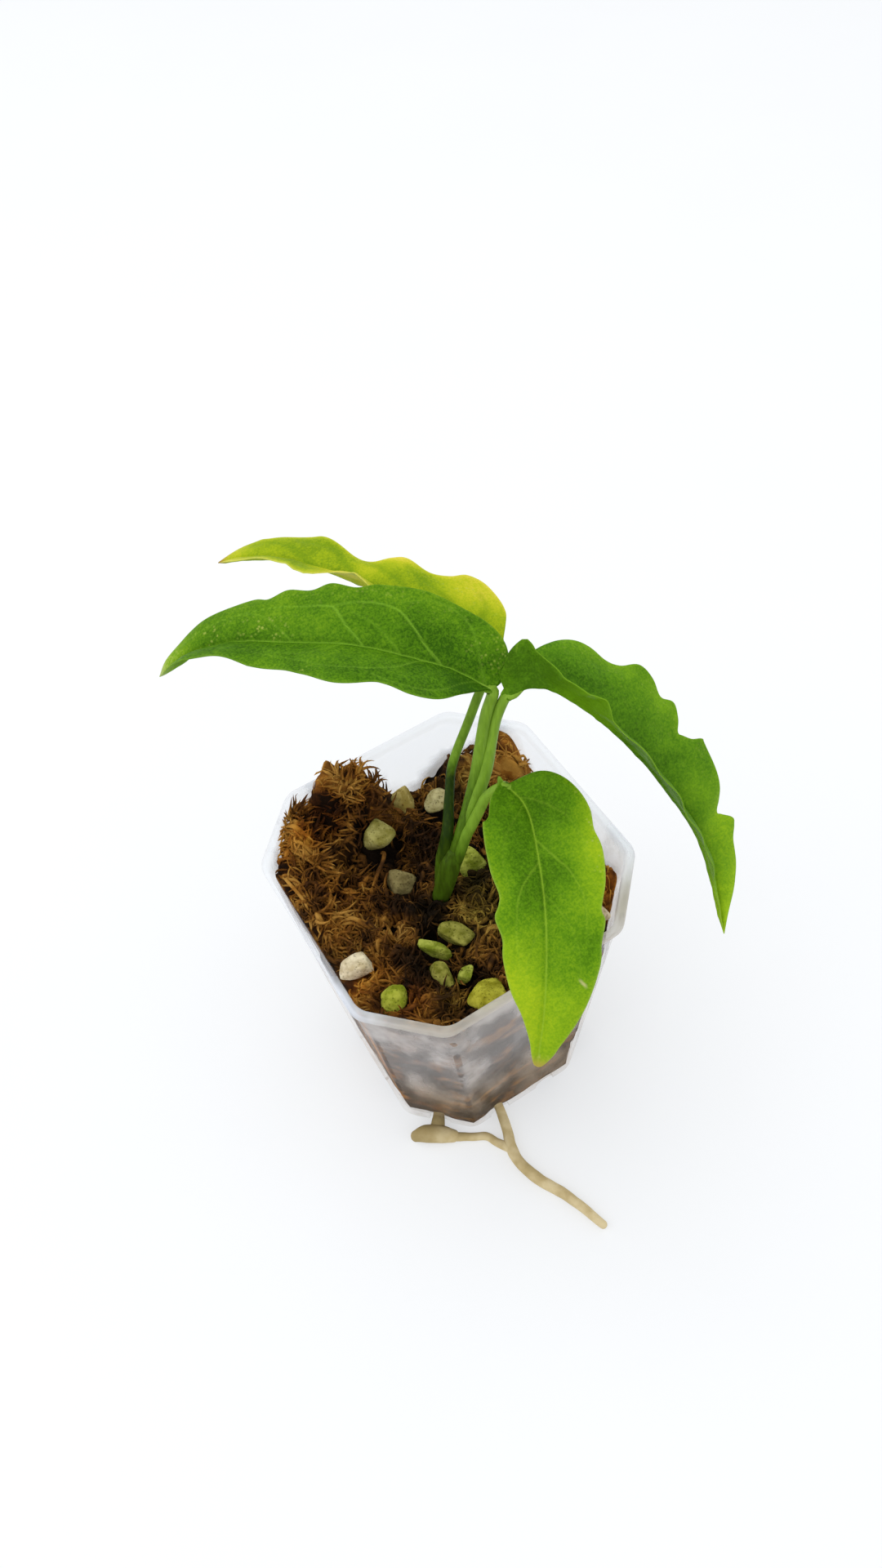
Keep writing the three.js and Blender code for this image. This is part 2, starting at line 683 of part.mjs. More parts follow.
// A closed blade: upper face, a lower face one thickness below, and the margin between them.
// The midrib stands out below as a keel. Grown by some clearance, it cuts room in the stalks.
function blade(leaf, grown = 0) {
  const midrib = curveThrough(leaf.midrib);
  const length = midrib.getLength();
  const halves = [leaf.near, leaf.far].map((half) => bladeHalf(leaf, half, midrib, length, grown));
  const points = [];
  const triangles = [];
  const keep = (point, direction, distance) => {
    return points.push(point.clone().addScaledVector(direction, distance)) - 1;
  };
  const spine = halves[0].map((line, row) => {
    const { point, normal, along } = line[0];
    const upward = normal.clone().add(halves[1][row][0].normal).normalize();
    const keel = KEEL_BASE + ((KEEL_TIP - KEEL_BASE) * along) / length;
    return [keep(point, upward, grown), keep(point, upward, -keel - grown)];
  });
  const face = (a, b, c, d) => triangles.push(a, b, c, a, c, d);
  halves.forEach((rows, which) => {
    const flat = (row, column) => row === 0 || row === BLADE_ROWS || column === 0;
    const sheet = (place, distance) =>
      rows.map((line, row) =>
        line.map(({ point, normal }, column) =>
          flat(row, column) ? spine[row][place] : keep(point, normal, distance),
        ),
      );
    const top = sheet(0, grown);
    const bottom = sheet(1, -BLADE_THICKNESS - grown);
    const [upper, lower] = [leaf.near, leaf.far][which].side > 0 ? [bottom, top] : [top, bottom];
    for (let row = 0; row < BLADE_ROWS; row += 1) {
      const next = row + 1;
      for (let column = 0; column < BLADE_COLUMNS; column += 1) {
        const beside = column + 1;
        face(upper[row][column], upper[next][column], upper[next][beside], upper[row][beside]);
        triangles.push(lower[row][column], lower[next][beside], lower[next][column]);
        triangles.push(lower[row][column], lower[row][beside], lower[next][beside]);
      }
      const edge = BLADE_COLUMNS;
      face(upper[row][edge], upper[next][edge], lower[next][edge], lower[row][edge]);
    }
  });
  return solidOf(indexed(points, triangles));
}

function makeStem() {
  let stem = stemSolid();
  for (const leaf of Object.values(LEAVES)) stem = stem.subtract(blade(leaf, GAP));
  addMesh("stem_with_stalks", stem, MATERIALS.stem);
}

function makeLeaves() {
  for (const [name, leaf] of Object.entries(LEAVES)) {
    addMesh("leaf_" + name, blade(leaf), MATERIALS[name]);
  }
}

makePot();
makeMoss();
makePumice();
makeStem();
makeLeaves();
addMesh("roots", rootSolid(0), MATERIALS.root);

export default plant;
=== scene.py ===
"""A young monstera in a clear nursery pot of moss and pumice: fine surfaces and finishes.

All lengths in the tables are millimetres in the model's frame, +Z up. The blades, stalks, roots and
moss follow the same curves as the solids that they stand for.
"""

import bmesh
import bpy
import numpy as np
from mathutils import Matrix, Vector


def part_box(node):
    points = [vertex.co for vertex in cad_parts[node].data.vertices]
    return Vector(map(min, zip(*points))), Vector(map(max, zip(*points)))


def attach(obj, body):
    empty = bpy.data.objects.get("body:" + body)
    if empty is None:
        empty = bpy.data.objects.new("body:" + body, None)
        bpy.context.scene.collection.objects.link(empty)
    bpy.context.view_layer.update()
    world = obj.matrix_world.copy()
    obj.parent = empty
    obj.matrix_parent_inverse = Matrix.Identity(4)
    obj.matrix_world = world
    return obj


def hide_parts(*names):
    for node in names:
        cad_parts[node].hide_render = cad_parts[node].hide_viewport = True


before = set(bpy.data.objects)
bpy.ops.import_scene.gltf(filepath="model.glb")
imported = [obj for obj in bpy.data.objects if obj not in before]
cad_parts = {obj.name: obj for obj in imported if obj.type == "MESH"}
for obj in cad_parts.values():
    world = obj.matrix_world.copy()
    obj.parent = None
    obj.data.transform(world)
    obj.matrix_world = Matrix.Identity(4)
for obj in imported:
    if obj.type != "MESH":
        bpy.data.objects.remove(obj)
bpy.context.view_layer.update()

MM = 0.001

# Meshes: points that are less than this many metres apart are joined, and how many rings round off a quarter
SAME_POINT = 2e-6
ROUND_STEPS = 5

# The camera: aimed at the middle of the rim, then turned and moved sideways
CAMERA_DISTANCE = 245.0
CAMERA_ELEVATION = 54.78
CAMERA_AZIMUTH = -26.18
CAMERA_ROLL = -6.79
CAMERA_RIGHT = -1.1
CAMERA_UP = 15.8
CAMERA_LENS = 25.99
CAMERA_SENSOR = 36.0

# The white ground: half its width and its height, in metres
GROUND_HALF = 3.0
GROUND_Z = -2e-4

# The pot: a square with cut corners, wider at the rim than at the foot
POT_HEIGHT = 84.0
RIM_HALF, RIM_CUT = 35.0, 13.75
FOOT_HALF, FOOT_CUT = 28.0, 13.0
WALL_TOP_HALF = 34.2
WALL = 0.9
FLOOR = 1.0
FLOOR_ROUND = 1.2
LIP_WIDTH, LIP_HEIGHT = 1.7, 2.0
LIP_CROWN, LIP_EDGE = 0.8, 0.35
FOOT_BEVEL = 0.6
CORNER_RADIUS = 2.2
SLOT_WIDTH, SLOT_HEIGHT, SLOT_REACH = 5.6, 4.4, 1.6
SLOT_PAST = 2.0
FLAT_SLOT_OFFSET = 7.0
POT_SHARP_DEGREES = 35

# The moss: its level, its mounds as (x, y, height, spread x, spread y), its fine waves as (radians a
# millimetre along x, along y, start), its gap to the pot, the drop at its edge, the pockets in its sides, and
# its points around and in rows
MOSS_LEVEL = 70.0
MOSS_MOUNDS = [
    (-11, 34, 20, 7, 9), (-22, 26, 8, 8, 7), (-32, 20, 8, 6, 9), (-31, 8, 5, 7, 12), (-27, -22, 5, 12, 11),
    (0, -32, 4, 16, 9), (30, 23, 14, 4.5, 6), (22, 27, 4, 5, 5), (9, 33, -5, 6, 7), (33, -6, 2, 6, 8),
    (27, -20, -3, 5, 5), (-17, 20, -4, 4, 4), (-3, 13, -3, 4, 4), (30, -20, 6.5, 4, 6), (-26, 23, 3, 4, 4),
    (-3.5, 29, 9.5, 4, 4), (-25, 30.5, 6.5, 4.5, 4.5),
]
MOSS_ROUGHNESS = 0.6
MOSS_WAVES = [(1.1, 0.4, 0), (0.5, -1.3, 0), (1.7, 1.9, 1)]
MOSS_CLEAR = 0.15
MOSS_EDGE_DROP = 1.6
POCKET_DEPTH = 0.7
MOSS_AROUND, MOSS_SIDE_ROWS, MOSS_TOP_ROWS = 380, 60, 104

# Where the moss is lighter or darker, and rusty (above 0) or olive (below 0): (x, y, radius, lighter, hue)
MOSS_TONES = [
    (-5, 30, 4, 0.06, 0.4), (-7, 23.5, 4, 0.05, 0.3), (-17.5, 28, 5, -0.42, 0.5), (-22.5, 23.5, 3, 0.2, 1.0),
    (-29, 23, 4, 0.3, 0.7), (-24, 14, 5, -0.26, 0.3), (-27, 4, 4, 0.5, 0.4), (-17, -2, 6, 0.2, 0.15),
    (-30, -11.5, 4, 0.55, 0.8), (-23, -20, 5, -0.34, 0.9), (-14, -23.5, 5, -0.02, -0.3),
    (-7, -2.5, 4.5, -0.38, -0.2), (3, -8.5, 7, 0.4, -0.6), (3, 18, 6, -0.05, 0.1),
    (-14.5, -4.5, 2.2, 0.4, -0.1), (-24.5, 32, 3.5, 0.4, -0.3), (16, 22, 5, 0.04, -0.3),
    (22.5, 17.5, 3.5, 0.4, 0.2), (30, 19, 5, 0.75, 0.5), (-16, -15.5, 4, -0.16, -0.1),
    (30, -20, 5, 0.55, 0.9), (-12, 14, 4, -0.16, 0.1), (-32, 14, 4, 0.12, 0.3), (6, -1, 4, -0.22, -0.6),
    (-12, 35, 4, 0.12, 0.2), (-18.5, 10, 5, 0.34, 0.3), (-24.5, -9.5, 3.5, -0.14, 0.5),
    (-15, 27, 3, -0.16, 0.5),
]

# The moss's shades from dark to light, as places and colours
MOSS_BROWN = (
    (0.06, 0.36, 0.6, 0.82, 1.0),
    (
        (0.012, 0.007, 0.004), (0.055, 0.024, 0.008), (0.15, 0.064, 0.014), (0.28, 0.125, 0.021),
        (0.44, 0.235, 0.055),
    ),
)
MOSS_HUES = {
    "rust": (
        (0.06, 0.36, 0.6, 0.82, 1.0),
        (
            (0.014, 0.006, 0.003), (0.075, 0.02, 0.005), (0.22, 0.065, 0.008), (0.4, 0.14, 0.014),
            (0.54, 0.24, 0.03),
        ),
    ),
    "olive": (
        (0.06, 0.36, 0.7, 1.0),
        ((0.01, 0.009, 0.003), (0.04, 0.032, 0.008), (0.16, 0.125, 0.02), (0.42, 0.36, 0.06)),
    ),
}

# Strands keep this far from the stem's middle line, which is given as rows of z, x and y
STEM_ROOM = 2.9
STEM_LINE = np.array([(60, 70, 88), (-4.6, -2.6, 1.0), (0.6, -0.3, -1.8)])
STRAND_STEPS, TUFT_STEPS = 9, 6
THREAD_HINT = (0.02, 0.01, 1.0)

# The strand that arches over the moss, as (x, y, z, radius), and the courses of the frayed shreds that lie on
# it, as (x, y, height above the moss, radius)
ARCHED_STRAND = [
    (-8.2, 16.8, 70.5, 0.36), (-8.4, 14.6, 73.2, 0.46), (-10, 12.6, 73.6, 0.44), (-12.2, 11.2, 72.8, 0.4),
    (-14.2, 10.2, 70.8, 0.3),
]
SHREDS = [
    [
        (-26.6, 27.4, 0.2, 0.3), (-24.6, 24.8, 1.1, 0.6), (-22.4, 21.8, 1.3, 0.7), (-20.4, 19, 1, 0.6),
        (-18.4, 16.4, 0.1, 0.2),
    ],
    [
        (-27.8, 24.4, 0.2, 0.3), (-26, 22, 1, 0.5), (-23.8, 19.6, 1.1, 0.55), (-21.6, 17.2, 0.8, 0.4),
        (-20, 15.6, 0.1, 0.2),
    ],
    [(-31, 18.5, 0.2, 0.3), (-30, 15.5, 1.1, 0.5), (-29.4, 12.2, 1, 0.5), (-29.6, 9.2, 0.1, 0.2)],
    [(-25.2, 5.6, 0.2, 0.3), (-22.6, 4.2, 1.2, 0.5), (-20.4, 1.8, 1.2, 0.5), (-18.8, -0.6, 0.1, 0.2)],
    [(-4.5, -17.4, 0.2, 0.3), (-2.4, -18.6, 1.1, 0.4), (0.2, -18.8, 1.1, 0.4), (2.6, -17.8, 0.1, 0.2)],
]

# The pumice: a slot, a shade and a light colour for each kind, and the kinds of the thirteen stones
PUMICE_LOOKS = {
    "tan": ("pumice_khaki", (0.27, 0.2, 0.045), (0.5, 0.4, 0.14)),
    "lemon": ("pumice_green", (0.24, 0.225, 0.012), (0.5, 0.47, 0.05)),
    "khaki": ("pumice_khaki", (0.2, 0.175, 0.035), (0.4, 0.36, 0.12)),
    "pale": ("pumice_khaki", (0.28, 0.24, 0.09), (0.52, 0.46, 0.24)),
    "grey": ("pumice_khaki", (0.11, 0.085, 0.03), (0.27, 0.22, 0.09)),
    "olive": ("pumice_green", (0.16, 0.195, 0.014), (0.42, 0.45, 0.08)),
    "cream": ("pumice_cream", (0.55, 0.44, 0.26), (0.88, 0.77, 0.56)),
    "lime": ("pumice_green", (0.2, 0.24, 0.012), (0.44, 0.46, 0.06)),
    "moist": ("pumice_green", (0.13, 0.13, 0.012), (0.35, 0.33, 0.07)),
}
PUMICE_KINDS = [
    "khaki", "tan", "pale", "grey", "olive", "cream", "lime", "lemon", "olive", "moist", "moist", "olive",
    "cream",
]

# The long stones: (angle of the long side from +X in degrees, how many times longer than wide)
PUMICE_LEANS = {6: (12, 1.35), 9: (-48, 2.2), 10: (-56, 1.9), 11: (-86, 1.8), 12: (-7, 1.15)}

# Stem, stalks and roots as (x, y, z, radius)
STEM = [
    (-4.6, 0.6, 60, 1.7), (-3.6, 0.1, 65, 1.9), (-2.6, -0.3, 70, 2), (-1.4, -0.9, 76, 2.2),
    (0.2, -1.5, 84, 2.3), (1, -1.8, 88, 1.5),
]
ROOT_TO_FLAT = [
    (-4.8, 0.6, 54, 1.2), (-5, -8, 38, 1.2), (-7, -20, 16, 1.2), (-7, -24.5, 5.5, 1.2), (-7.1, -28, 2.3, 1.2),
    (-8.4, -33.4, 1.5, 1.3), (-10, -37.7, 1.5, 1.4), (-10.3, -42.2, 1.5, 1.4), (-8.5, -48.4, 1.5, 1.4),
    (-5.7, -54, 1.5, 1.3), (-3.3, -60.1, 1.4, 1.2), (-1.5, -65.6, 1.2, 1),
]
ROOT_TO_CORNER = [
    (-4.6, 0.6, 53, 1.2), (-12, -6, 34, 1.2), (-18, -15, 12, 1.2), (-20.5, -19.5, 3.4, 1.3),
    (-22.6, -22.4, 2.5, 1.7), (-24.4, -24.4, 2.4, 2),
]
ROOT_KNOT = [(-29, -22, 1.7, 1.5), (-26.8, -23, 2.4, 2.2), (-24, -24.8, 2.5, 2.3), (-21, -27.2, 1.8, 1.6)]
ROOT_LINK = [
    (-21.5, -27, 1.5, 1.2), (-17.5, -29.6, 1.2, 1.05), (-13.8, -31.8, 1.2, 1.05), (-12.4, -34.4, 1.2, 1.05),
    (-10.2, -38, 1.4, 1.2),
]
STALKS = {
    "back": [
        (-2.6, 0, 74, 1), (-1.2, 0, 84, 1.25), (0.7, -0.6, 94, 1.25), (3.2, 1.6, 102.8, 1),
        (6, 4.1, 109, 0.95), (11.2, 5.8, 116.8, 0.95), (16, 7.2, 124, 0.95), (20.3, 7.6, 129, 0.95),
    ],
    "left": [
        (-2.2, -0.6, 74, 1), (0.4, -1.4, 84, 1.3), (3, -2.3, 94.3, 1.3), (5.5, -2.1, 102.4, 1.2),
        (8, -1.7, 111.4, 1.15), (11.1, -1.2, 125.5, 1.15), (12.9, -1.5, 132.3, 1.1),
    ],
    "right": [
        (-1.8, -1, 74, 1), (1.4, -1.8, 84, 1.3), (4.9, -2.6, 98.7, 1.3), (7.4, -2.6, 105.5, 1.55),
        (9.8, -2.5, 112.1, 1.4), (11.7, -2.1, 119.2, 1.1), (13, -2, 124.8, 1.05), (14.7, -2.8, 130.8, 1.05),
    ],
    "front": [
        (-1.6, -1.2, 74, 1), (1, -2.4, 84, 1.3), (3.5, -3.4, 94.1, 1.3), (4.7, -4.2, 98.1, 1.2),
        (6.1, -5.3, 103.8, 1.15), (7.4, -6.6, 109.2, 1.1), (9.2, -10, 115.3, 1.05),
    ],
}

# How light the stem is, and where each stalk turns from dark to light going up: two heights, and how light
# it is below and above. The dark below is painted shadow: the shade of the blades above on each stalk.
STEM_SHADE = 0.27
STALK_PAINTED_SHADOWS = {
    "back": (107, 111, 0.0, 0.8), "left": (104, 116, 0.42, 0.85), "right": (90, 104, 0.5, 0.95),
    "front": (88, 100, 0.5, 0.95),
}

# Leaf blades: midrib, the upward direction at both ends, and each half laid out flat, with the length of its
# waves, its margin as (along the midrib, width) and its fold up from the midrib as (along, degrees)
LEAVES = {
    "front": {
        "midrib": [
            (9.5, -10.5, 116), (10, -16.5, 115), (7, -24.5, 113), (2.5, -33.5, 109.5), (-2, -40.5, 105.5),
            (-7, -47, 99.5), (-12, -52, 91.5),
        ],
        "up": [(-0.1, -0.2, 1), (-0.1, -0.2, 1)], "fan": 0.2,
        "near": {
            "side": 1, "arch": 0.5, "wave": 14, "fold": [(0, 12), (55, 8)],
            "margin": [
                (-2.4, 0), (-0.8, 1.8), (0.8, 5), (2.8, 7.3), (5.5, 8.9), (12, 9.6), (18, 9.5), (22.5, 8.3),
                (24.5, 8.5), (27.3, 9.4), (31.5, 8.2), (35, 8), (41, 6.4), (45.5, 4.1), (50.5, 2.1),
                (53.5, 1.3), (55.2, 0.7),
            ],
        },
        "far": {
            "side": -1, "arch": 0.6, "wave": 12, "fold": [(0, 12), (55, 8)],
            "margin": [
                (0.5, 2), (2, 5.2), (4, 8), (6.5, 10.2), (9.5, 11.2), (13, 11.1), (16.7, 11.9), (22, 11.5),
                (26.5, 10.3), (28.5, 10.8), (32, 10), (36, 9.7), (43, 7.4), (50, 3.9), (52.5, 2.8),
                (54.4, 1.7), (55.5, 0.8),
            ],
        },
    },
    "left": {
        "midrib": [
            (13, -1.5, 133), (8.5, 3.5, 136.5), (2, 8.5, 140), (-6.5, 15, 143), (-15, 21, 143.5),
            (-23, 27.5, 143), (-30.5, 32.5, 140), (-37.3, 36.5, 134.2),
        ],
        "up": [(0, 0, 1), (0, 0, 1)], "fan": 0.16,
        "near": {
            "side": -1, "arch": 0.6, "wave": 15, "fold": [(0, 17), (44, 17), (58, 38), (67, 33)],
            "margin": [
                (-1, 0.3), (2, 2), (5, 5.4), (9.5, 9.2), (13, 11.1), (16.5, 11.7), (20.5, 10.6), (23, 10.5),
                (29.5, 12.5), (34.5, 10.8), (38, 9), (42, 8.4), (46, 7.8), (51, 6.3), (58, 4.3), (63, 2.5),
            ],
        },
        "far": {
            "side": 1, "arch": 0.8, "wave": 13, "fold": [(0, 17), (67, 10)],
            "margin": [
                (-1, 2.5), (-0.8, 5.4), (0, 7.7), (2.8, 9.8), (7.5, 12), (12.5, 13.4), (18.9, 13.6),
                (24.5, 13), (28, 11.5), (32, 12.2), (35.5, 11), (40.5, 10.7), (44, 8.6), (47, 8.6),
                (54.5, 6.3), (60.5, 4.4), (65.5, 2.5),
            ],
        },
    },
    "right": {
        "midrib": [
            (15, -3, 131.5), (17.5, -4.5, 134.5), (20, -7, 135.5), (23.5, -10.5, 133.5), (28, -15, 128),
            (32.5, -20, 120.5), (36.5, -25, 111.5), (40, -31, 101.5), (41.5, -36, 92), (40.5, -45, 77),
        ],
        "up": [(0.15, 0.5, 0.85), (0.5, -0.7, 0.6)], "fan": 0.14,
        "near": {
            "side": 1, "arch": 0.4, "wave": 12,
            "fold": [
                (0, 55), (4, 55), (6.5, 80), (8, 56), (10, 36), (13, 27), (15.5, 29), (18, 19), (31, 22),
                (42, 27), (52, 31), (83, 31),
            ],
            "margin": [
                (-0.5, 1.2), (3.2, 2.5), (5.2, 5.5), (5.8, 7.4), (6.2, 9.2), (6.9, 9), (7.3, 8), (8.2, 8.4),
                (10, 9.5), (15, 10.5), (20, 10.5), (30, 11), (40, 10.5), (50, 9), (60, 7), (70, 4.5), (78, 2),
            ],
        },
        "far": {
            "side": -1, "arch": 0.8, "wave": 12, "fold": [(0, 30), (40, 40), (83, 40)],
            "margin": [
                (1.5, 4), (5.7, 7.3), (8.5, 10), (11.5, 11.6), (15, 12), (19, 11.6), (22, 12.4), (25, 14.7),
                (28.4, 13.9), (30.6, 12.5), (32, 12.2), (34.5, 13.2), (36.7, 11.2), (38.1, 9), (39.3, 9.3),
                (41.4, 10.4), (43, 12.1), (43.9, 12), (48.4, 10.6), (52.7, 8.7), (56.5, 5.9), (57.9, 6.5),
                (59.8, 8.2), (61, 7.7), (63.4, 6.3), (68.4, 5.7), (72.3, 4.4), (77.5, 2.3),
            ],
        },
    },
    "back": {
        "midrib": [
            (20.5, 7.5, 129.5), (16, 16, 133), (9.5, 25.5, 136.5), (2, 36, 139), (-5.5, 45, 140),
            (-11, 50.5, 139), (-15.5, 55.5, 136.3),
        ],
        "up": [(0.33, 0.26, 0.9), (0.33, 0.26, 0.9)], "fan": 0.14,
        "near": {
            "side": -1, "arch": 0.4, "wave": 12,
            "fold": [
                (0, 2), (18, 4), (27, 22), (30.5, 34), (33.5, 28), (38, 11), (40, 7), (42.3, 10), (44, 18),
                (48, 16), (52, 12), (62, 6),
            ],
            "margin": [
                (-1, 2), (0, 6), (4, 9.5), (10, 10.5), (16, 10), (22, 9), (30, 7.7), (36, 8), (41, 7),
                (45, 6), (50, 5), (56, 3),
            ],
        },
        "far": {
            "side": 1, "arch": 0.6, "wave": 12, "fold": [(0, 25), (62, 20)],
            "margin": [
                (-0.5, 1.5), (1.9, 4.1), (4.2, 9), (9.5, 12.7), (13.3, 12.5), (16, 10.2), (19.5, 9.2),
                (25, 9.9), (28, 8.3), (31, 5.8), (34.5, 5.7), (41.2, 8.3), (44.4, 7.7), (50.8, 5.5),
                (54.2, 5.5), (58.5, 4.5),
            ],
        },
    },
}
BLADE_THICKNESS = 0.42
MARGIN_THICKNESS = 0.2
WAVE_HEIGHT = 0.3
FULL_WAVE_WIDTH = 6.0
BLADE_ROWS = 250
BLADE_COLUMNS = 46
GROOVE_DEPTHS = {"left": 0.2, "front": 0.08, "right": 0.2, "back": 0.2}

# Side veins of each half, laid out flat as (along, width), with how clearly each shows, and how wide
# they are. The right and back blades draw them darker than the blade: painted shade in their valleys.
VEINS = {
    "left": {
        "far": [
            (
                0.8,
                [
                    (25.2, 0), (28.7, 3.3), (30.8, 6.5), (32.1, 7.1), (35.7, 7.2), (42.4, 6.5), (52.8, 4.1),
                    (60, 2.6),
                ],
            ),
            (0.85, [(10.5, 0), (14.2, 2.7), (17.4, 5.8), (20.1, 8.1), (23.1, 8.7), (26.1, 8.6), (31, 7.2)]),
            (
                0.32,
                [
                    (1.5, 0), (4.3, 3.1), (6.6, 7.2), (8, 9.5), (10.7, 11.6), (13.6, 12), (18, 10.8),
                    (23, 8.8),
                ],
            ),
            (0.3, [(38, 0), (41, 2.4), (44.5, 4.6), (48, 5.2)]),
            (0.25, [(18.5, 0), (21, 2.2), (24.5, 4.6), (28, 6)]),
        ],
        "near": [
            (0.55, [(14, 0), (16.8, 2.8), (20.1, 5.8), (25.4, 7.7), (30.6, 8.3), (37.2, 6.3), (46, 4.2)]),
            (0.45, [(1.5, 0), (3.9, 0.9), (9.8, 7.2), (14.5, 9.6), (18.7, 10), (23, 8.6)]),
            (0.3, [(28.5, 0), (31.5, 2.6), (36, 4.6), (42, 4.6)]),
        ],
    },
    "front": {
        "far": [
            (0.9, [(12.6, 0), (15.6, 2.2), (17.4, 3.6), (18.9, 4.9), (20.9, 6), (25, 7.4), (30, 7.4)]),
            (0.5, [(3.6, 0), (6.2, 2.8), (8.2, 5.1), (10.1, 6.9), (14, 8.6), (19, 8.8)]),
            (0.35, [(23, 0), (26, 2.4), (30, 4.9), (35, 6.2), (41, 5.2)]),
            (0.25, [(33.5, 0), (37, 2.4), (41.5, 3.8), (46, 3.4)]),
        ],
        "near": [
            (0.85, [(17, 0), (19.2, 2.1), (21.5, 3.9), (23.8, 4.9), (26.1, 5.3), (31, 5.6), (37, 4.8)]),
            (0.4, [(5, 0), (8, 3), (12, 5.8), (17, 7), (22, 6.4)]),
            (0.3, [(28, 0), (31.5, 2.2), (36, 3.6), (41, 3.6)]),
        ],
    },
    "right": {
        "far": [
            (0.7, [(7.8, 0), (8, 3), (8.4, 5.8), (9.4, 7.5), (11.5, 8.7), (14, 9), (18, 9)]),
            (0.6, [(10.5, 0.6), (11.7, 2.6), (15.1, 3.4), (18.8, 4.7), (22.3, 6.6), (26, 8.4)]),
            (0.7, [(21.5, 0), (23.6, 1.3), (26.5, 3.4), (29.9, 4.8), (34.8, 6.9), (39, 7.4)]),
            (0.6, [(33, 0), (36.9, 2.4), (39.9, 4.5), (44.4, 6.5), (49, 7)]),
            (0.4, [(45, 0), (48.5, 2.4), (52.5, 4.2), (57, 4.8)]),
            (0.3, [(56, 0), (59, 2), (63, 3.4), (68, 3.4)]),
        ],
        "near": [
            (0.5, [(8, 0), (9.4, 3), (11, 5.6), (14, 7.6), (19, 8.4), (25, 8)]),
            (0.5, [(21, 0), (24, 3), (28, 5.6), (33, 7)]),
            (0.4, [(34, 0), (37, 3), (41, 5.4), (46, 6.2)]),
            (0.3, [(47, 0), (50, 2.4), (54, 4.2), (59, 4.4)]),
        ],
    },
    "back": {
        "far": [
            (0.9, [(41, 0), (42.9, 0.9), (44.6, 1.8), (47, 3.1), (50, 3.6), (55, 3)]),
            (1.0, [(31, 0), (33.3, 1.2), (35.7, 2.8), (37.4, 4.7), (40, 5.4), (45, 5.2)]),
            (0.9, [(19.5, 0), (21.4, 1.8), (25.6, 3.6), (28.8, 4.4), (32, 5.2)]),
            (0.9, [(15, 0), (17, 2.2), (18.8, 3.9), (20.4, 5.4), (22.2, 6.8), (24, 7.6)]),
            (1.0, [(10.5, 0), (12.5, 3), (14.1, 4.2), (16.5, 4.8), (18.6, 5.7), (21, 6.3)]),
            (0.8, [(4.5, 0), (6.8, 3.8), (7.4, 7), (9.5, 9.2)]),
        ],
        "near": [
            (0.6, [(31, 0), (34, 2), (38, 4), (43, 4.6)]),
            (0.5, [(19, 0), (22, 2.6), (26, 5), (31, 5.4)]),
            (0.5, [(8, 0), (11, 3.4), (15, 6.4), (20, 6.8)]),
        ],
    },
}
VEIN_WIDTHS = {"left": 0.22, "front": 0.2, "right": 0.34, "back": 0.75}

# Where a blade is lighter or yellower than the rest: partly its own yellowing, as towards the tips, and
# partly painted light and shade, lighter where light falls on and through the blade, darker where it lies in
# shade. Each as (half, along, width, spread along, spread width, how much). A half's name picks the side;
# "both" is for places across the midrib.
TONES = {
    "left": [
        ("far", 34, 8, 15, 6, 0.1), ("far", 3.5, 7.4, 4, 3, 0.12), ("far", 30, 12, 22, 4, 0.07),
        ("both", 68, 0, 8, 5, 0.6), ("near", 6, 4, 10, 6, -0.2), ("far", 12, 2, 8, 4, -0.14),
        ("far", 37, 9, 8, 5, -0.1), ("far", 46, 6, 9, 4, 0.12),
    ],
    "front": [
        ("far", 17.5, 10.6, 6.5, 4.4, 0.38), ("far", 26, 7, 7, 4, 0.2), ("near", 38, 5, 9, 5, 0.28),
        ("both", 50, 0, 15, 10, 0.5), ("both", 21, 0, 9, 8, -0.05), ("far", 12, 11, 8, 2, 0.2),
        ("far", 31, 6, 4, 5, -0.12), ("far", 20, 4.5, 3, 3, -0.1), ("both", 4, 0, 7, 10, -0.08),
        ("near", 14, 8, 16, 2.5, 0.12),
    ],
    "right": [
        ("far", 18, 12, 10, 4, 0.24), ("far", 33, 11, 9, 4, 0.2), ("far", 58, 6, 16, 4, 0.3),
        # ("near", 6, 4, ...) is painted shade on the right blade's ear at the base.
        ("both", 84, 0, 24, 8, 0.75), ("near", 6, 4, 6, 5, -0.12), ("far", 26, 3, 12, 3, -0.08),
    ],
    "back": [
        ("far", 9, 10, 5, 4, 0.45), ("far", 26.5, 9, 4, 2.2, 0.6), ("far", 14, 8, 4, 4, 0.26),
        ("far", 31, 3, 3, 2, 0.24), ("both", 60, 0, 7, 6, 0.34), ("both", 45, 4, 9, 3, -0.14),
        # ("near", 33, 3, ...) is painted light on the near half's underside, which lies in shade.
        ("far", 20, 6, 4, 3, -0.2), ("near", 33, 3, 6, 5, 0.75), ("far", 4, 5, 4, 4, -0.1),
    ],
}

# How much lighter each blade is along its margin
RIMS = {"left": 0.05, "front": 0.08, "right": 0.1, "back": 0.32}

# Where small pale flecks lie close together, in the same form, and the scar as (along, width) with its turn
FLECKS = {
    "left": [
        ("far", 43, 2.2, 4, 2, 1.0), ("far", 54, 1.6, 5, 2, 0.9), ("near", 34, 9.6, 1.6, 0.7, 1.3),
        ("far", 3, 6, 4, 4, 0.6), ("both", 64, 1.4, 4, 2, 0.8), ("far", 30, 11, 20, 3, 0.25),
    ],
    "front": [("far", 10, 10.5, 5, 1, 0.9), ("far", 17, 11, 6, 1.2, 0.5), ("both", 54, 0, 1.6, 1.6, 1.0)],
    "right": [("far", 30, 10, 25, 3, 0.2)], "back": [("far", 14, 9, 12, 3, 0.4)],
}
SCAR = (38.8, 6.8)
SCAR_TURN = np.array([[0.62, -0.78], [0.78, 0.62]])

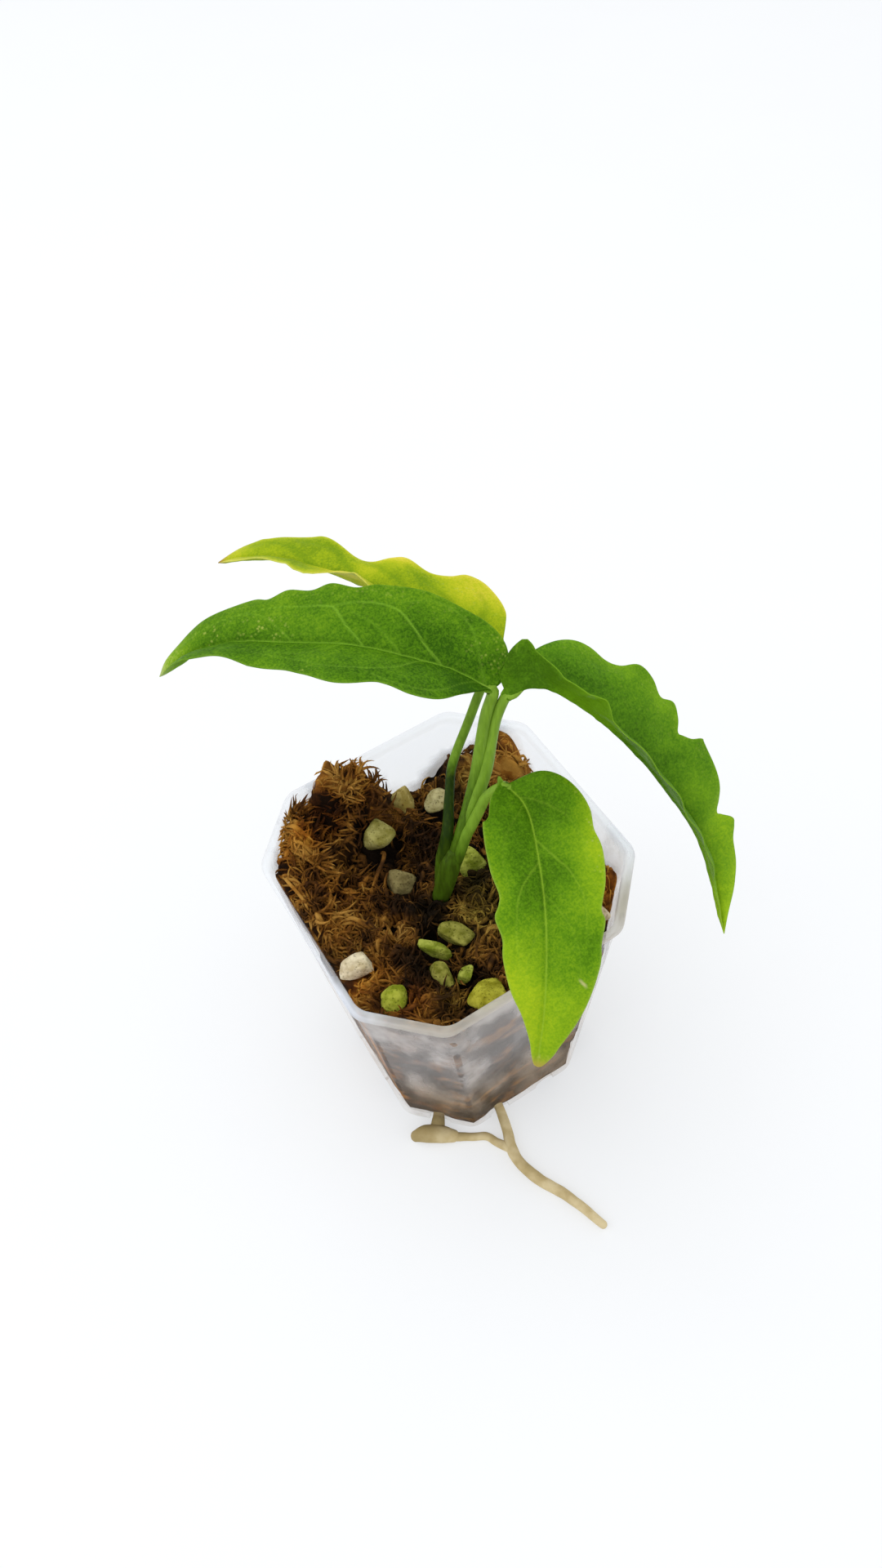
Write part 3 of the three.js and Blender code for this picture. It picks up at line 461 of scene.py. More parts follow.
# Each blade's slot and finish: name, greens from dark to light, colour of the veins, how strongly the side
# veins and the midrib show, and the colours of the edge, the tip, the underside and the light from behind
LEAF_LOOKS = {
    "left": (
        "leaf_dark", "leaf_dark_green",
        ((0.035, 0.11, 0.003), (0.095, 0.235, 0.006), (0.22, 0.4, 0.012), (0.5, 0.62, 0.12)),
        (0.25, 0.48, 0.035), 1.0, 0.85, (0.2, 0.36, 0.03), (0.5, 0.55, 0.25), (0.12, 0.26, 0.03),
        (0.3, 0.6, 0.02),
    ),
    # The right blade's underside colour is partly painted light: brighter than its own green, so the shaded
    # strip of its near half looks lit.
    "right": (
        "leaf_mid", "leaf_mid_green",
        ((0.042, 0.125, 0.004), (0.095, 0.24, 0.008), (0.19, 0.38, 0.012), (0.36, 0.56, 0.014)),
        # The right blade's vein colour, also used on its midrib, is darker than its greens: painted shade in
        # the valleys.
        (0.05, 0.15, 0.006), 0.5, 0.3, (0.24, 0.42, 0.03), (0.42, 0.6, 0.03), (0.22, 0.44, 0.006),
        (0.3, 0.6, 0.02),
    ),
    "front": (
        "leaf_light", "leaf_light_green",
        ((0.055, 0.15, 0.003), (0.115, 0.27, 0.006), (0.25, 0.43, 0.01), (0.43, 0.57, 0.014)),
        (0.36, 0.56, 0.04), 0.42, 0.62, (0.36, 0.5, 0.08), (0.5, 0.34, 0.08), (0.16, 0.3, 0.03),
        (0.45, 0.7, 0.01),
    ),
    "back": (
        "leaf_yellow", "leaf_yellow_green",
        ((0.2, 0.32, 0.008), (0.35, 0.46, 0.01), (0.54, 0.57, 0.02), (0.8, 0.66, 0.07)),
        # The back blade's vein colour is darker than its greens: painted shade in the valleys of its veins.
        (0.15, 0.29, 0.008), 0.65, 0.5, (0.8, 0.78, 0.2), (0.3, 0.12, 0.03), (0.42, 0.52, 0.06),
        (0.7, 0.8, 0.02),
    ),
}


# Curves, noise and meshes


def spline(points, place):
    """Catmull-Rom spline with even steps: between two given points it is the cubic that leaves the first
    along the line from its neighbour before to its neighbour after, and reaches the second the same way.
    place runs from 0 at the first point to 1 at the last."""
    points = np.asarray(points, float)
    steps = np.clip(place, 0, 1) * (len(points) - 1)
    first = np.minimum(steps.astype(int), len(points) - 2)
    part = (steps - first)[..., None]
    padded = np.vstack([2 * points[0] - points[1], points, 2 * points[-1] - points[-2]])
    before, here, there, after = (padded[first + i] for i in range(4))
    leave, reach = (there - before) / 2, (after - here) / 2
    cubic = (2 * here - 2 * there + leave + reach) * part**3
    square = (3 * there - 3 * here - 2 * leave - reach) * part**2
    return cubic + square + leave * part + here


def measured(points, samples=400):
    """A spline with its length measured along it: its places and the length reached at each."""
    place = np.linspace(0, 1, samples + 1)
    shape = spline(points, place)
    steps = np.linalg.norm(np.diff(shape[:, :3], axis=0), axis=1)
    return {"points": points, "place": place, "reached": np.concatenate([[0], np.cumsum(steps)])}


def at_length(line, length):
    """Point and direction of a measured spline at a length along it, going straight on past both ends."""
    total = line["reached"][-1]
    kept = np.clip(length, 0, total)
    place = np.interp(kept, line["reached"], line["place"])
    point = spline(line["points"], place)
    step = 1e-3
    ahead = spline(line["points"], place + step)[..., :3] - spline(line["points"], place - step)[..., :3]
    ahead /= np.linalg.norm(ahead, axis=-1, keepdims=True)
    point[..., :3] += ahead * (length - kept)[..., None]
    return point, ahead


def unit(vectors):
    """Vectors at length one."""
    return vectors / np.maximum(np.linalg.norm(vectors, axis=-1, keepdims=True), 1e-12)


def scatter(cells, seed):
    """A fixed random number from -1 to 1 for each whole-number cell."""
    mixed = cells[..., 0] * 73856093 ^ cells[..., 1] * 19349663 ^ cells[..., 2] * 83492791 ^ seed * 2654435761
    mixed = (mixed ^ (mixed >> 13)) * 1274126177
    return ((mixed ^ (mixed >> 16)) & 65535) / 32767.5 - 1


def noise(points, size, seed=0):
    """Smooth noise from -1 to 1: random numbers at the corners of cubes of this size, blended between
    them with weights 3t^2 - 2t^3 along each axis."""
    places = np.asarray(points, float) / size
    cells = np.floor(places).astype(np.int64)
    part = places - cells
    part = part * part * (3 - 2 * part)
    total = 0
    for corner in np.ndindex(2, 2, 2):
        weight = np.prod(np.where(corner, part, 1 - part), axis=-1)
        total = total + weight * scatter(cells + np.array(corner), seed)
    return total


def layered(points, size, layers, seed=0):
    """Noise with finer layers on it, each at half the size and 0.55 of the height of the one before."""
    return sum(0.55**i * noise(points, size / 2**i, seed + i) for i in range(layers))


def turned(points, degrees):
    """Points turned about the upright axis."""
    cosine, sine = np.cos(np.radians(degrees)), np.sin(np.radians(degrees))
    return points @ np.array([[cosine, sine, 0], [-sine, cosine, 0], [0, 0, 1]])


def polar(reach, angle):
    """x and y at a distance from the pot's axis in a direction."""
    return reach * np.cos(angle), reach * np.sin(angle)


def full_turn(steps):
    """Even angles all the way round."""
    return np.linspace(0, 2 * np.pi, steps, endpoint=False)


def grid_faces(rows, columns, around=False):
    """Four-sided faces of a grid of points kept row by row. around joins the last column to the first."""
    row, column = np.meshgrid(np.arange(rows - 1), np.arange(columns - (not around)), indexing="ij")
    here, beside = row * columns + column, row * columns + (column + 1) % columns
    return np.stack([here, beside, beside + columns, here + columns], -1).reshape(-1, 4)


def turn_outwards(mesh):
    """Joins the points of a closed mesh that fall together, and turns its faces outwards."""
    work = bmesh.new()
    work.from_mesh(mesh)
    bmesh.ops.remove_doubles(work, verts=work.verts, dist=SAME_POINT)
    bmesh.ops.recalc_face_normals(work, faces=work.faces)
    work.to_mesh(mesh)
    work.free()


def in_scene(name, data):
    """A new object in the scene."""
    made = bpy.data.objects.new(name, data)
    bpy.context.scene.collection.objects.link(made)
    return made


def make_piece(name, points, faces, marks=None, closed=True, sharp=None):
    """A new piece from points in millimetres and four-sided faces. marks are named numbers for each point."""
    points = np.asarray(points, float).reshape(-1, 3)
    mesh = bpy.data.meshes.new(name)
    mesh.vertices.add(len(points))
    mesh.vertices.foreach_set("co", (points * MM).astype(np.float32).ravel())
    mesh.loops.add(faces.size)
    mesh.loops.foreach_set("vertex_index", faces.astype(np.int32).ravel())
    mesh.polygons.add(len(faces))
    mesh.polygons.foreach_set("loop_start", np.arange(0, faces.size, faces.shape[1], dtype=np.int32))
    for mark, values in (marks or {}).items():
        layer = mesh.attributes.new(mark, "FLOAT", "POINT")
        layer.data.foreach_set("value", np.asarray(values, np.float32).ravel())
    mesh.update(calc_edges=True)
    if closed:
        turn_outwards(mesh)
    mesh.shade_smooth()
    if sharp:
        mesh.set_sharp_from_angle(angle=np.radians(sharp))
    return in_scene(name, mesh)


def settle(piece, material, slot, *nodes):
    """Gives a piece its finish, hangs it under the root body and hides the solids that it stands for."""
    piece.data.materials.clear()
    piece.data.materials.append(material)
    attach(piece, "root")
    if nodes:
        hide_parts(*nodes)
    return piece


def ring_spokes(ahead, hint, sides):
    """For each place on a line, even directions round it: square to the line, the first at right angles
    to hint."""
    across = unit(np.cross(ahead, np.asarray(hint, float)))[..., None, :]
    other = np.cross(ahead, across[..., 0, :])[..., None, :]
    angle = full_turn(sides)[:, None]
    return np.cos(angle) * across + np.sin(angle) * other


def rounded_tube(points, sides, steps, hint, lobes, lobe_depth):
    """A tube along points that carry a radius. Lobes raise and lower the radius by a cosine of the angle.
    Both ends are round: there the rings close in by the square root of one minus the squared share of
    the last radius."""
    line = measured(points)
    total = line["reached"][-1]
    turn = np.linspace(0, np.pi / 2, ROUND_STEPS)
    before, after = -points[0][3] * np.cos(turn), total + points[-1][3] * np.sin(turn)
    lengths = np.concatenate([before, np.linspace(0, total, steps)[1:-1], after])
    close = np.concatenate([np.sin(turn), np.ones(steps - 2), np.cos(turn)])
    centre, ahead = at_length(line, lengths)
    radius = centre[:, 3:] * (1 + lobe_depth * np.cos(lobes * full_turn(sides)))
    rings = centre[:, None, :3] + radius[..., None] * ring_spokes(ahead, hint, sides)
    middle = rings.mean(axis=1, keepdims=True)
    return middle + (rings - middle) * close[:, None, None], grid_faces(len(lengths), sides, around=True)


def joined(parts):
    """Several (points, faces) as one, with the faces counted on."""
    counts = np.cumsum([0, *(points.size // 3 for points, _ in parts)])
    points = np.concatenate([points.reshape(-1, 3) for points, _ in parts])
    return points, np.concatenate([faces + count for (_, faces), count in zip(parts, counts)])


# Materials


class Finish:
    """A node material in the making. Its steps take and give sockets, and most take plain values too."""

    def __init__(self, name):
        self.material = bpy.data.materials.new(name)
        self.material.use_nodes = True
        self.tree = self.material.node_tree
        self.tree.nodes.clear()
        self.output = self.tree.nodes.new("ShaderNodeOutputMaterial")
        self.where = self.node("ShaderNodeTexCoord").outputs["Object"]
        _, self.y, self.z = self.node("ShaderNodeSeparateXYZ", {0: self.where}).outputs

    def node(self, kind, links=None, **settings):
        """A node with its settings; links fills its input sockets. A colour is given as three numbers."""
        made = self.tree.nodes.new(kind)
        for key, value in settings.items():
            setattr(made, key, value)
        for name, value in (links or {}).items():
            socket = made.inputs[name]
            if isinstance(value, bpy.types.NodeSocket):
                self.tree.links.new(value, socket)
            else:
                socket.default_value = (*value, 1.0) if socket.type == "RGBA" else value
        return made

    def stretched(self, x, y, z):
        """Object coordinates, stretched along each axis."""
        return self.node("ShaderNodeMapping", {"Vector": self.where, "Scale": (x, y, z)}).outputs["Vector"]

    def grain(self, size, detail=3.0, rough=0.55, where=None):
        """Cloudy noise, from 0 to 1, with patches of about this size in millimetres."""
        links = {"Vector": where or self.where, "Scale": 1 / (size * MM)}
        links |= {"Detail": detail, "Roughness": rough}
        return self.node("ShaderNodeTexNoise", links).outputs["Fac"]

    def cells(self, size, **settings):
        """Distances in a pattern of cells of about this size in millimetres."""
        links = {"Vector": self.where, "Scale": 1 / (size * MM)}
        return self.node("ShaderNodeTexVoronoi", links, **settings).outputs["Distance"]

    def maths(self, operation, value, *others, clamp=False):
        """A value with others added to it, taken from it or multiplied with it, one after another. clamp
        holds the last result from 0 to 1."""
        for other in others:
            step = self.node("ShaderNodeMath", {0: value, 1: other}, operation=operation)
            value = step.outputs[0]
        step.use_clamp = clamp
        return value

    def spread(self, value, low, high, to_low=0.0, to_high=1.0):
        """A value's range from low to high, stretched to another range, smoothly at both ends."""
        links = {"Value": value, "From Min": low, "From Max": high, "To Min": to_low, "To Max": to_high}
        return self.node("ShaderNodeMapRange", links, interpolation_type="SMOOTHSTEP").outputs["Result"]

    def blend(self, share, first, second):
        """A mix of two colours."""
        return self.node("ShaderNodeMix", {0: share, 6: first, 7: second}, data_type="RGBA").outputs[2]

    def shades(self, value, places, colours):
        """Colours at places along a value."""
        ramp = self.node("ShaderNodeValToRGB", {"Fac": value})
        while len(ramp.color_ramp.elements) < len(colours):
            ramp.color_ramp.elements.new(0.5)
        for element, place, colour in zip(ramp.color_ramp.elements, places, colours):
            element.position, element.color = place, (*colour, 1.0)
        return ramp.outputs["Color"]

    def mark(self, name):
        """A named number kept on the piece's points."""
        return self.node("ShaderNodeAttribute", attribute_name=name).outputs["Fac"]

    def bump(self, height, distance, strength):
        """Relief of this depth in millimetres where the height goes from 0 to 1."""
        links = {"Height": height, "Distance": distance * MM, "Strength": strength}
        return self.node("ShaderNodeBump", links).outputs["Normal"]

    def coat(self, colour, roughness, **links):
        """The main shader."""
        links = {name.replace("_", " "): value for name, value in links.items()}
        made = self.node("ShaderNodeBsdfPrincipled", {"Base Color": colour, "Roughness": roughness, **links})
        self.tree.links.new(made.outputs[0], self.output.inputs["Surface"])
        return made

    def let_through(self, coat, share, colour, relief):
        """Mixes a coat with light that comes through from behind."""
        through = self.node("ShaderNodeBsdfTranslucent", {"Color": colour, "Normal": relief})
        mixed = self.node("ShaderNodeMixShader", {0: share, 1: coat.outputs[0], 2: through.outputs[0]})
        self.tree.links.new(mixed.outputs[0], self.output.inputs["Surface"])


# The pot


def octagon(half, cut, inset, z, bend=8, run=10):
    """A square of half width half with cut corners at height z, pulled in by inset. Each corner is a
    quadratic curve between points one corner radius away from it, and each side is a straight run."""
    h = half - inset
    k = h - (cut - (2 - np.sqrt(2)) * inset)
    corners = np.array([[h, -k], [h, k], [k, h], [-k, h], [-h, k], [-h, -k], [-k, -h], [k, -h]], float)
    start = corners + CORNER_RADIUS * unit(np.roll(corners, 1, 0) - corners)
    end = corners + CORNER_RADIUS * unit(np.roll(corners, -1, 0) - corners)
    turn = np.linspace(0, 1, bend + 1)[:, None, None]
    bends = (1 - turn) ** 2 * start + 2 * turn * (1 - turn) * corners + turn**2 * end
    share = np.linspace(0, 1, run + 1)[1:-1, None, None]
    runs = end + (np.roll(start, -1, 0) - end) * share
    ring = np.concatenate([bends, runs]).transpose(1, 0, 2).reshape(-1, 2)
    return np.concatenate([ring, np.full((len(ring), 1), z)], axis=1)


def wall_at(z):
    """Half width and corner cut of the outer wall at a height."""
    up = z / POT_HEIGHT
    return FOOT_HALF + (WALL_TOP_HALF - FOOT_HALF) * up, FOOT_CUT + (RIM_CUT - FOOT_CUT) * up


def wall_ring(z, inset=0.0):
    """The wall's outline at a height, pulled in by inset."""
    return octagon(*wall_at(z), inset, z)


def pot_rings():
    """The pot's section from the middle of its underside, up the outer wall, over the lip's half ellipse
    and down the inner wall to the middle of its floor, swept round as octagons."""
    under, crown = POT_HEIGHT - LIP_HEIGHT, POT_HEIGHT - LIP_CROWN
    quarter = np.linspace(0, np.pi / 2, ROUND_STEPS)
    rings = [octagon(FOOT_HALF, FOOT_CUT, FOOT_BEVEL, 0) * (share, share, 1) for share in (0, 0.5, 0.96)]
    rings += [wall_ring(FOOT_BEVEL * (1 - np.cos(turn)), FOOT_BEVEL * (1 - np.sin(turn))) for turn in quarter]
    rings += [wall_ring(z) for z in (*np.linspace(2, 58, 6), *np.linspace(61, under - 0.3, 16))]
    rings.append(octagon(*wall_at(under), -0.12, under - 0.05))
    for turn in np.linspace(-np.pi / 2, 0, 4)[1:]:
        z = under + LIP_EDGE * (1 + np.sin(turn))
        rings.append(octagon(RIM_HALF, RIM_CUT, LIP_EDGE * (1 - np.cos(turn)), z))
    inner_cut = wall_at(POT_HEIGHT)[1] - (2 - np.sqrt(2)) * WALL
    for turn in np.linspace(0, np.pi, 13):
        share = (1 - np.cos(turn)) / 2
        half, cut = RIM_HALF - LIP_WIDTH * share, RIM_CUT + (inner_cut - RIM_CUT) * share
        rings.append(octagon(half, cut, 0, crown + LIP_CROWN * np.sin(turn)))
    inner = (*np.linspace(crown - 1.5, 61, 16), *np.linspace(58, FLOOR + FLOOR_ROUND, 6))
    rings += [wall_ring(z, WALL) for z in inner]
    for turn in quarter:
        z = FLOOR + FLOOR_ROUND * (1 - np.sin(turn))
        rings.append(wall_ring(z, WALL + FLOOR_ROUND * (1 - np.cos(turn))))
    rings += [wall_ring(FLOOR, WALL + FLOOR_ROUND) * (share, share, 1) for share in (0.96, 0.5, 0)]
    return np.array(rings)


def slot_cutters():
    """Twelve plugs with round tops, two through each flat and one through each cut corner at the foot."""
    radius = SLOT_WIDTH / 2
    arc = np.linspace(0, np.pi, 17)
    top = np.stack([radius * np.cos(arc), SLOT_HEIGHT - radius + radius * np.sin(arc)], -1)
    outline = np.concatenate([[(radius, -SLOT_PAST)], top, [(-radius, -SLOT_PAST)]])
    count = len(outline)
    faces = [range(count), range(2 * count - 1, count - 1, -1)]
    faces += [(i, i + count, (i + 1) % count + count, (i + 1) % count) for i in range(count)]
    corner_distance = (2 * FOOT_HALF - FOOT_CUT) / np.sqrt(2)
    kinds = (0, FOOT_HALF, FLAT_SLOT_OFFSET), (0, FOOT_HALF, -FLAT_SLOT_OFFSET), (45, corner_distance, 0)
    parts = []
    for quarter in (0, 90, 180, 270):
        for turn, distance, offset in kinds:
            depths = (distance - SLOT_REACH, distance + SLOT_PAST)
            plug = np.array([(x + offset, -depth, z) for depth in depths for x, z in outline])
            parts.append(turned(plug, quarter + turn))
    every = [[corner + 2 * count * i for corner in face] for i in range(len(parts)) for face in faces]
    mesh = bpy.data.meshes.new("slots")
    mesh.from_pydata((np.concatenate(parts) * MM).tolist(), [], every)
    turn_outwards(mesh)
    return in_scene("slots", mesh)


def bare_wall(points):
    """Where nothing lies against the wall: 0 up to the moss's level at each place and 1 from 2.5 mm above it,
    fading out from the back to the front."""
    x, y, z = points[..., 0], points[..., 1], points[..., 2]
    return np.clip((z - moss_height(x, y) + 0.5) / 2.5, 0, 1) * np.clip((y + 14) / 18, 0, 1)


def make_pot():
    """The thin clear shell with its rolled lip and the drain slots cut out of its foot."""
    rings = pot_rings()
    faces = grid_faces(len(rings), rings.shape[1], around=True)
    pot = make_piece("clear_pot", rings, faces, {"bare": bare_wall(rings)}, sharp=POT_SHARP_DEGREES)
    cutter = slot_cutters()
    cut = pot.modifiers.new("slots", "BOOLEAN")
    cut.operation, cut.solver, cut.object = "DIFFERENCE", "EXACT", cutter
    bpy.context.view_layer.update()
    shape = bpy.data.meshes.new_from_object(pot.evaluated_get(bpy.context.evaluated_depsgraph_get()))
    pot.modifiers.clear()
    pot.data = shape
    bpy.data.objects.remove(cutter)
    shape.shade_smooth()
    shape.set_sharp_from_angle(angle=np.radians(POT_SHARP_DEGREES))
    return settle(pot, clear_plastic(), "pot_plastic", "pot")


def clear_plastic():
    """Thin clear plastic gone milky: cloudy warm patches where the filling lies against it, a smooth bluish
    veil on the bare wall above the moss at the back, and a denser white lip."""
    look = Finish("hazy_clear_plastic")
    bare = look.mark("bare")
    low = look.stretched(1, 1, 0.6)
    patches = look.spread(look.grain(12, where=low), 0.42, 0.66, 0.0, 0.34)
    patches = look.maths("MULTIPLY", patches, look.spread(look.z, 0.0, 55 * MM, 0.35, 1.0))
    streaks = look.spread(look.grain(5, 3.0, 0.6, look.stretched(1, 1, 0.7)), 0.45, 0.75, 0.0, 0.06)
    cloudy = look.maths("MULTIPLY", look.maths("ADD", patches, streaks), look.maths("SUBTRACT", 1.0, bare))
    ahead = look.spread(look.y, -30 * MM, -18 * MM, 1.0, 0.0)
    lip = look.spread(look.z, 81.2 * MM, 82.4 * MM)
    lip = look.maths("MULTIPLY", lip, look.spread(ahead, 0, 1, 0.08, 0.32))
    veil = look.spread(look.z, 0.0, 70 * MM, 0.05, 0.18)
    haze = look.maths("ADD", cloudy, lip, veil, look.maths("MULTIPLY", bare, -0.09), clamp=True)
    warm = look.blend(look.grain(8, where=low), (0.66, 0.6, 0.55), (0.84, 0.8, 0.79))
    warm = look.blend(look.spread(look.z, 15 * MM, 50 * MM), (0.58, 0.42, 0.27), warm)
    colour = look.blend(bare, warm, (0.56, 0.66, 0.86))
    lip_colour = look.blend(ahead, (0.74, 0.78, 0.86), (0.58, 0.53, 0.46))
    colour = look.blend(look.spread(look.z, 80 * MM, 82 * MM), colour, lip_colour)
    rough = look.spread(look.grain(3), 0.3, 0.7, 0.3, 0.42)
    look.coat(colour, rough, Specular_IOR_Level=0.3, IOR=1.49, Alpha=haze)
    return look.material


# The moss


def moss_height(x, y):
    """The moss's level, plus a bell-shaped mound or dip for each entry, plus three crossed fine waves."""
    height = np.full(np.shape(x), MOSS_LEVEL)
    for mound_x, mound_y, rise, spread_x, spread_y in MOSS_MOUNDS:
        height = height + rise * np.exp(-(((x - mound_x) / spread_x) ** 2) - ((y - mound_y) / spread_y) ** 2)
    for along_x, along_y, start in MOSS_WAVES:
        height = height + MOSS_ROUGHNESS * np.sin(along_x * x + along_y * y + start)
    return height


def wall_distance(angle, z, inset):
    """How far the pot's wall is from its axis in a direction at a height: the nearer of the flat side
    and the cut corner, less an inset."""
    half, cut = wall_at(np.minimum(z, POT_HEIGHT))
    across, slanted = np.abs(np.cos(angle)), np.abs(np.sin(angle))
    flat = (half - inset) / np.maximum(across, slanted)
    corner = (2 * half - cut - inset * np.sqrt(2)) / (across + slanted)
    return np.minimum(flat, corner)


STONES = [f"pumice_{i:02d}" for i in range(1, 14)]
STONE_BOXES = [np.array(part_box(name)) / MM for name in STONES]


def near_stones(points, reach):
    """From 0 away from the stones to 1 at their middles: a bell over each stone's own size."""
    close = np.zeros(points.shape[:-1])
    for low, high in STONE_BOXES:
        size = (high - low) / 2 * reach
        close = np.maximum(close, np.exp(-(((points - (low + high) / 2) / size) ** 2).sum(-1)))
    return close


def moss_relief(x, y, z):
    """Clumps, tufts and hollows on the moss: layered noise, with its low parts pushed deeper."""
    points = np.stack([x, y, z], -1)
    clumps = 1.7 * layered(points, 7.5, 2, 3) + 1.0 * layered(points, 2.8, 3, 11)
    hollows = 6.5 * np.clip(noise(points, 8.5, 21) - 0.2, 0, 1)
    hollows = hollows + 3.0 * np.clip(noise(points, 4.0, 5) - 0.25, 0, 1)
    near = near_stones(points, 1.3)
    return (clumps - hollows - 0.3) * (1 - near) - 1.5 * near


def moss_top(x, y):
    """The moss's height with its relief."""
    level = moss_height(x, y)
    return level + moss_relief(x, y, level)


def moss_marks(points, **more):
    """Lightness and hue at each place of the moss: sums of the bells in MOSS_TONES."""
    light, hue = np.zeros(points.shape[:-1]), np.zeros(points.shape[:-1])
    for x, y, radius, lighter, rusty in MOSS_TONES:
        close = np.exp(-((points[..., 0] - x) ** 2 + (points[..., 1] - y) ** 2) / radius**2)
        light, hue = light + lighter * close, hue + rusty * close
    return {"light": light, "rust": np.clip(hue, 0, 1), "olive": np.clip(-hue, 0, 1), **more}


def make_moss():
    """The filling: its top is a polar grid of moss_height with moss_relief, its sides follow the wall with
    shallow pockets between the moss and the plastic, and its underside is flat."""
    angle = full_turn(MOSS_AROUND)
    inset = WALL + MOSS_CLEAR
    edge = wall_distance(angle, MOSS_LEVEL, inset)
    for _ in range(4):
        edge_z = moss_height(*polar(edge, angle)) - MOSS_EDGE_DROP
        edge = wall_distance(angle, edge_z, inset)
    # deeps: the depth of the side pockets and of the hollows on top, where the finish paints shade.
    rows, deeps = [], []
    for share in np.linspace(0, 1, MOSS_SIDE_ROWS) ** 0.8:
        z = FLOOR + MOSS_CLEAR + (edge_z - FLOOR - MOSS_CLEAR) * share
        reach = wall_distance(angle, z, inset)
        places = np.stack([*polar(reach, angle), z * 1.1], -1)
        pocket = np.clip(layered(places, 8, 3, 31) + 0.15, 0, 1)
        rows.append(np.stack([*polar(reach - POCKET_DEPTH * pocket, angle), z], -1))
        deeps.append(pocket)
    for share in 1 - np.linspace(0, 1, MOSS_TOP_ROWS)[1:] ** 0.9:
        x, y = polar(edge * share, angle)
        z = moss_height(x, y)
        from_edge = 1 - share
        relief = moss_relief(x, y, z) * min(1, from_edge * 9) - MOSS_EDGE_DROP * max(0, 1 - from_edge * 12)
        rows.append(np.stack([x, y, z + relief], -1))
        deeps.append(np.clip(-relief / 3.0, 0, 1))
    points = np.array([rows[0] * (share, share, 1) for share in (0, 0.5)] + rows)
    deep = np.array([deeps[0], deeps[0], *deeps])
    faces = grid_faces(len(points), MOSS_AROUND, around=True)
    moss = make_piece("moss_filling", points, faces, moss_marks(points, deep=deep))
    return settle(moss, moss_fibre("moss_mat", ground=True), "moss", "moss")


def threads(points, radius, sides, tint):
    """Thin tubes along rows of points: each ring stands square to its thread."""
    count, steps = points.shape[:2]
    spokes = ring_spokes(unit(np.gradient(points, axis=1)), THREAD_HINT, sides)
    rings = points[:, :, None, :] + spokes * radius[..., None, None]
    one = grid_faces(steps, sides, around=True)
    faces = (one[None] + (np.arange(count) * steps * sides)[:, None, None]).reshape(-1, 4)
    return rings, faces, np.repeat(tint, steps * sides)


def off_stones(points, chance):
    """Which threads stay: nearly all that cross a stone, seen from above, are left out."""
    crosses = np.zeros(len(points), bool)
    for low, high in STONE_BOXES:
        middle, size = (low + high) / 2, (high - low) / 2
        crosses |= (np.linalg.norm((points[..., :2] - middle[:2]) / size[:2], axis=-1) < 0.92).any(axis=1)
    return ~crosses | (chance.uniform(0, 1, len(points)) < 0.05)


def held_in(x, y, z, inset):
    """The share of its way out from the axis that keeps a place inside the wall."""
    inside = wall_distance(np.arctan2(y, x), z, inset)
    return np.minimum(1, inside / np.maximum(np.hypot(x, y), 1e-6))


def from_stem(points, line):
    """The way sideways from the stem's middle line to each point."""
    z = points[..., 2]
    return points[..., :2] - np.stack([np.interp(z, line[0], line[1]), np.interp(z, line[0], line[2])], -1)


def strands(count, seed, length, thickness, sides, lift):
    """Loose moss strands: each starts at a random place on the moss and runs level with a random, steadily
    curling heading. Its height is the moss's own plus a low arch. Strands are pulled in from the wall and
    bent away from the stem. Nearly all that cross a stone, and those that climb too steeply or had to be
    pulled in far, are left out. Their radius swells and shrinks along them and ends in a point."""
    chance = np.random.default_rng(seed)
    angle = chance.uniform(0, 2 * np.pi, count)
    reach = wall_distance(angle, MOSS_LEVEL + 2, WALL + 1.5) * np.sqrt(chance.uniform(0, 1, count))
    heading = chance.uniform(0, 2 * np.pi, count)
    curl = chance.normal(0, 1.0, count)[:, None] * 2.6 / STRAND_STEPS
    way = heading[:, None] + np.cumsum(chance.normal(0, 0.35, (count, STRAND_STEPS)) + curl, axis=1)
    stride = (length * chance.uniform(0.5, 1.4, count) / (STRAND_STEPS - 1))[:, None]
    pairs = zip(polar(reach, angle), polar(stride, way))
    x, y = (start[:, None] + np.cumsum(step, axis=1) for start, step in pairs)
    share = np.linspace(0, 1, STRAND_STEPS)
    held = held_in(x, y, moss_height(x, y) + 1, WALL + 0.9)
    x, y = x * held, y * held
    arch = chance.uniform(-0.5, lift, count)[:, None] * np.sin(np.pi * share)
    points = np.stack([x, y, moss_top(x, y) + arch + chance.uniform(-0.4, 0.5, count)[:, None]], -1)
    aside = from_stem(points, STEM_LINE)
    far = np.linalg.norm(aside, axis=-1, keepdims=True)
    points[..., :2] += np.where(far < STEM_ROOM, aside / np.maximum(far, 0.2) * (STEM_ROOM - far), 0)
    swell = 1 + 0.45 * np.sin(share * 9.0 + chance.uniform(0, 6, count)[:, None])
    radius = thickness * chance.uniform(0.55, 1.2, count)[:, None] * swell
    radius = radius * np.sin(np.pi * np.clip(share * 0.97 + 0.03, 0, 1)) ** 0.5
    tint = chance.uniform(0, 1, count)
    gentle = (np.ptp(points[..., 2], axis=1) < 4.5) & (held > 0.97).all(axis=1)
    kept = off_stones(points, chance) & gentle
    return threads(points[kept], radius[kept], sides, tint[kept])


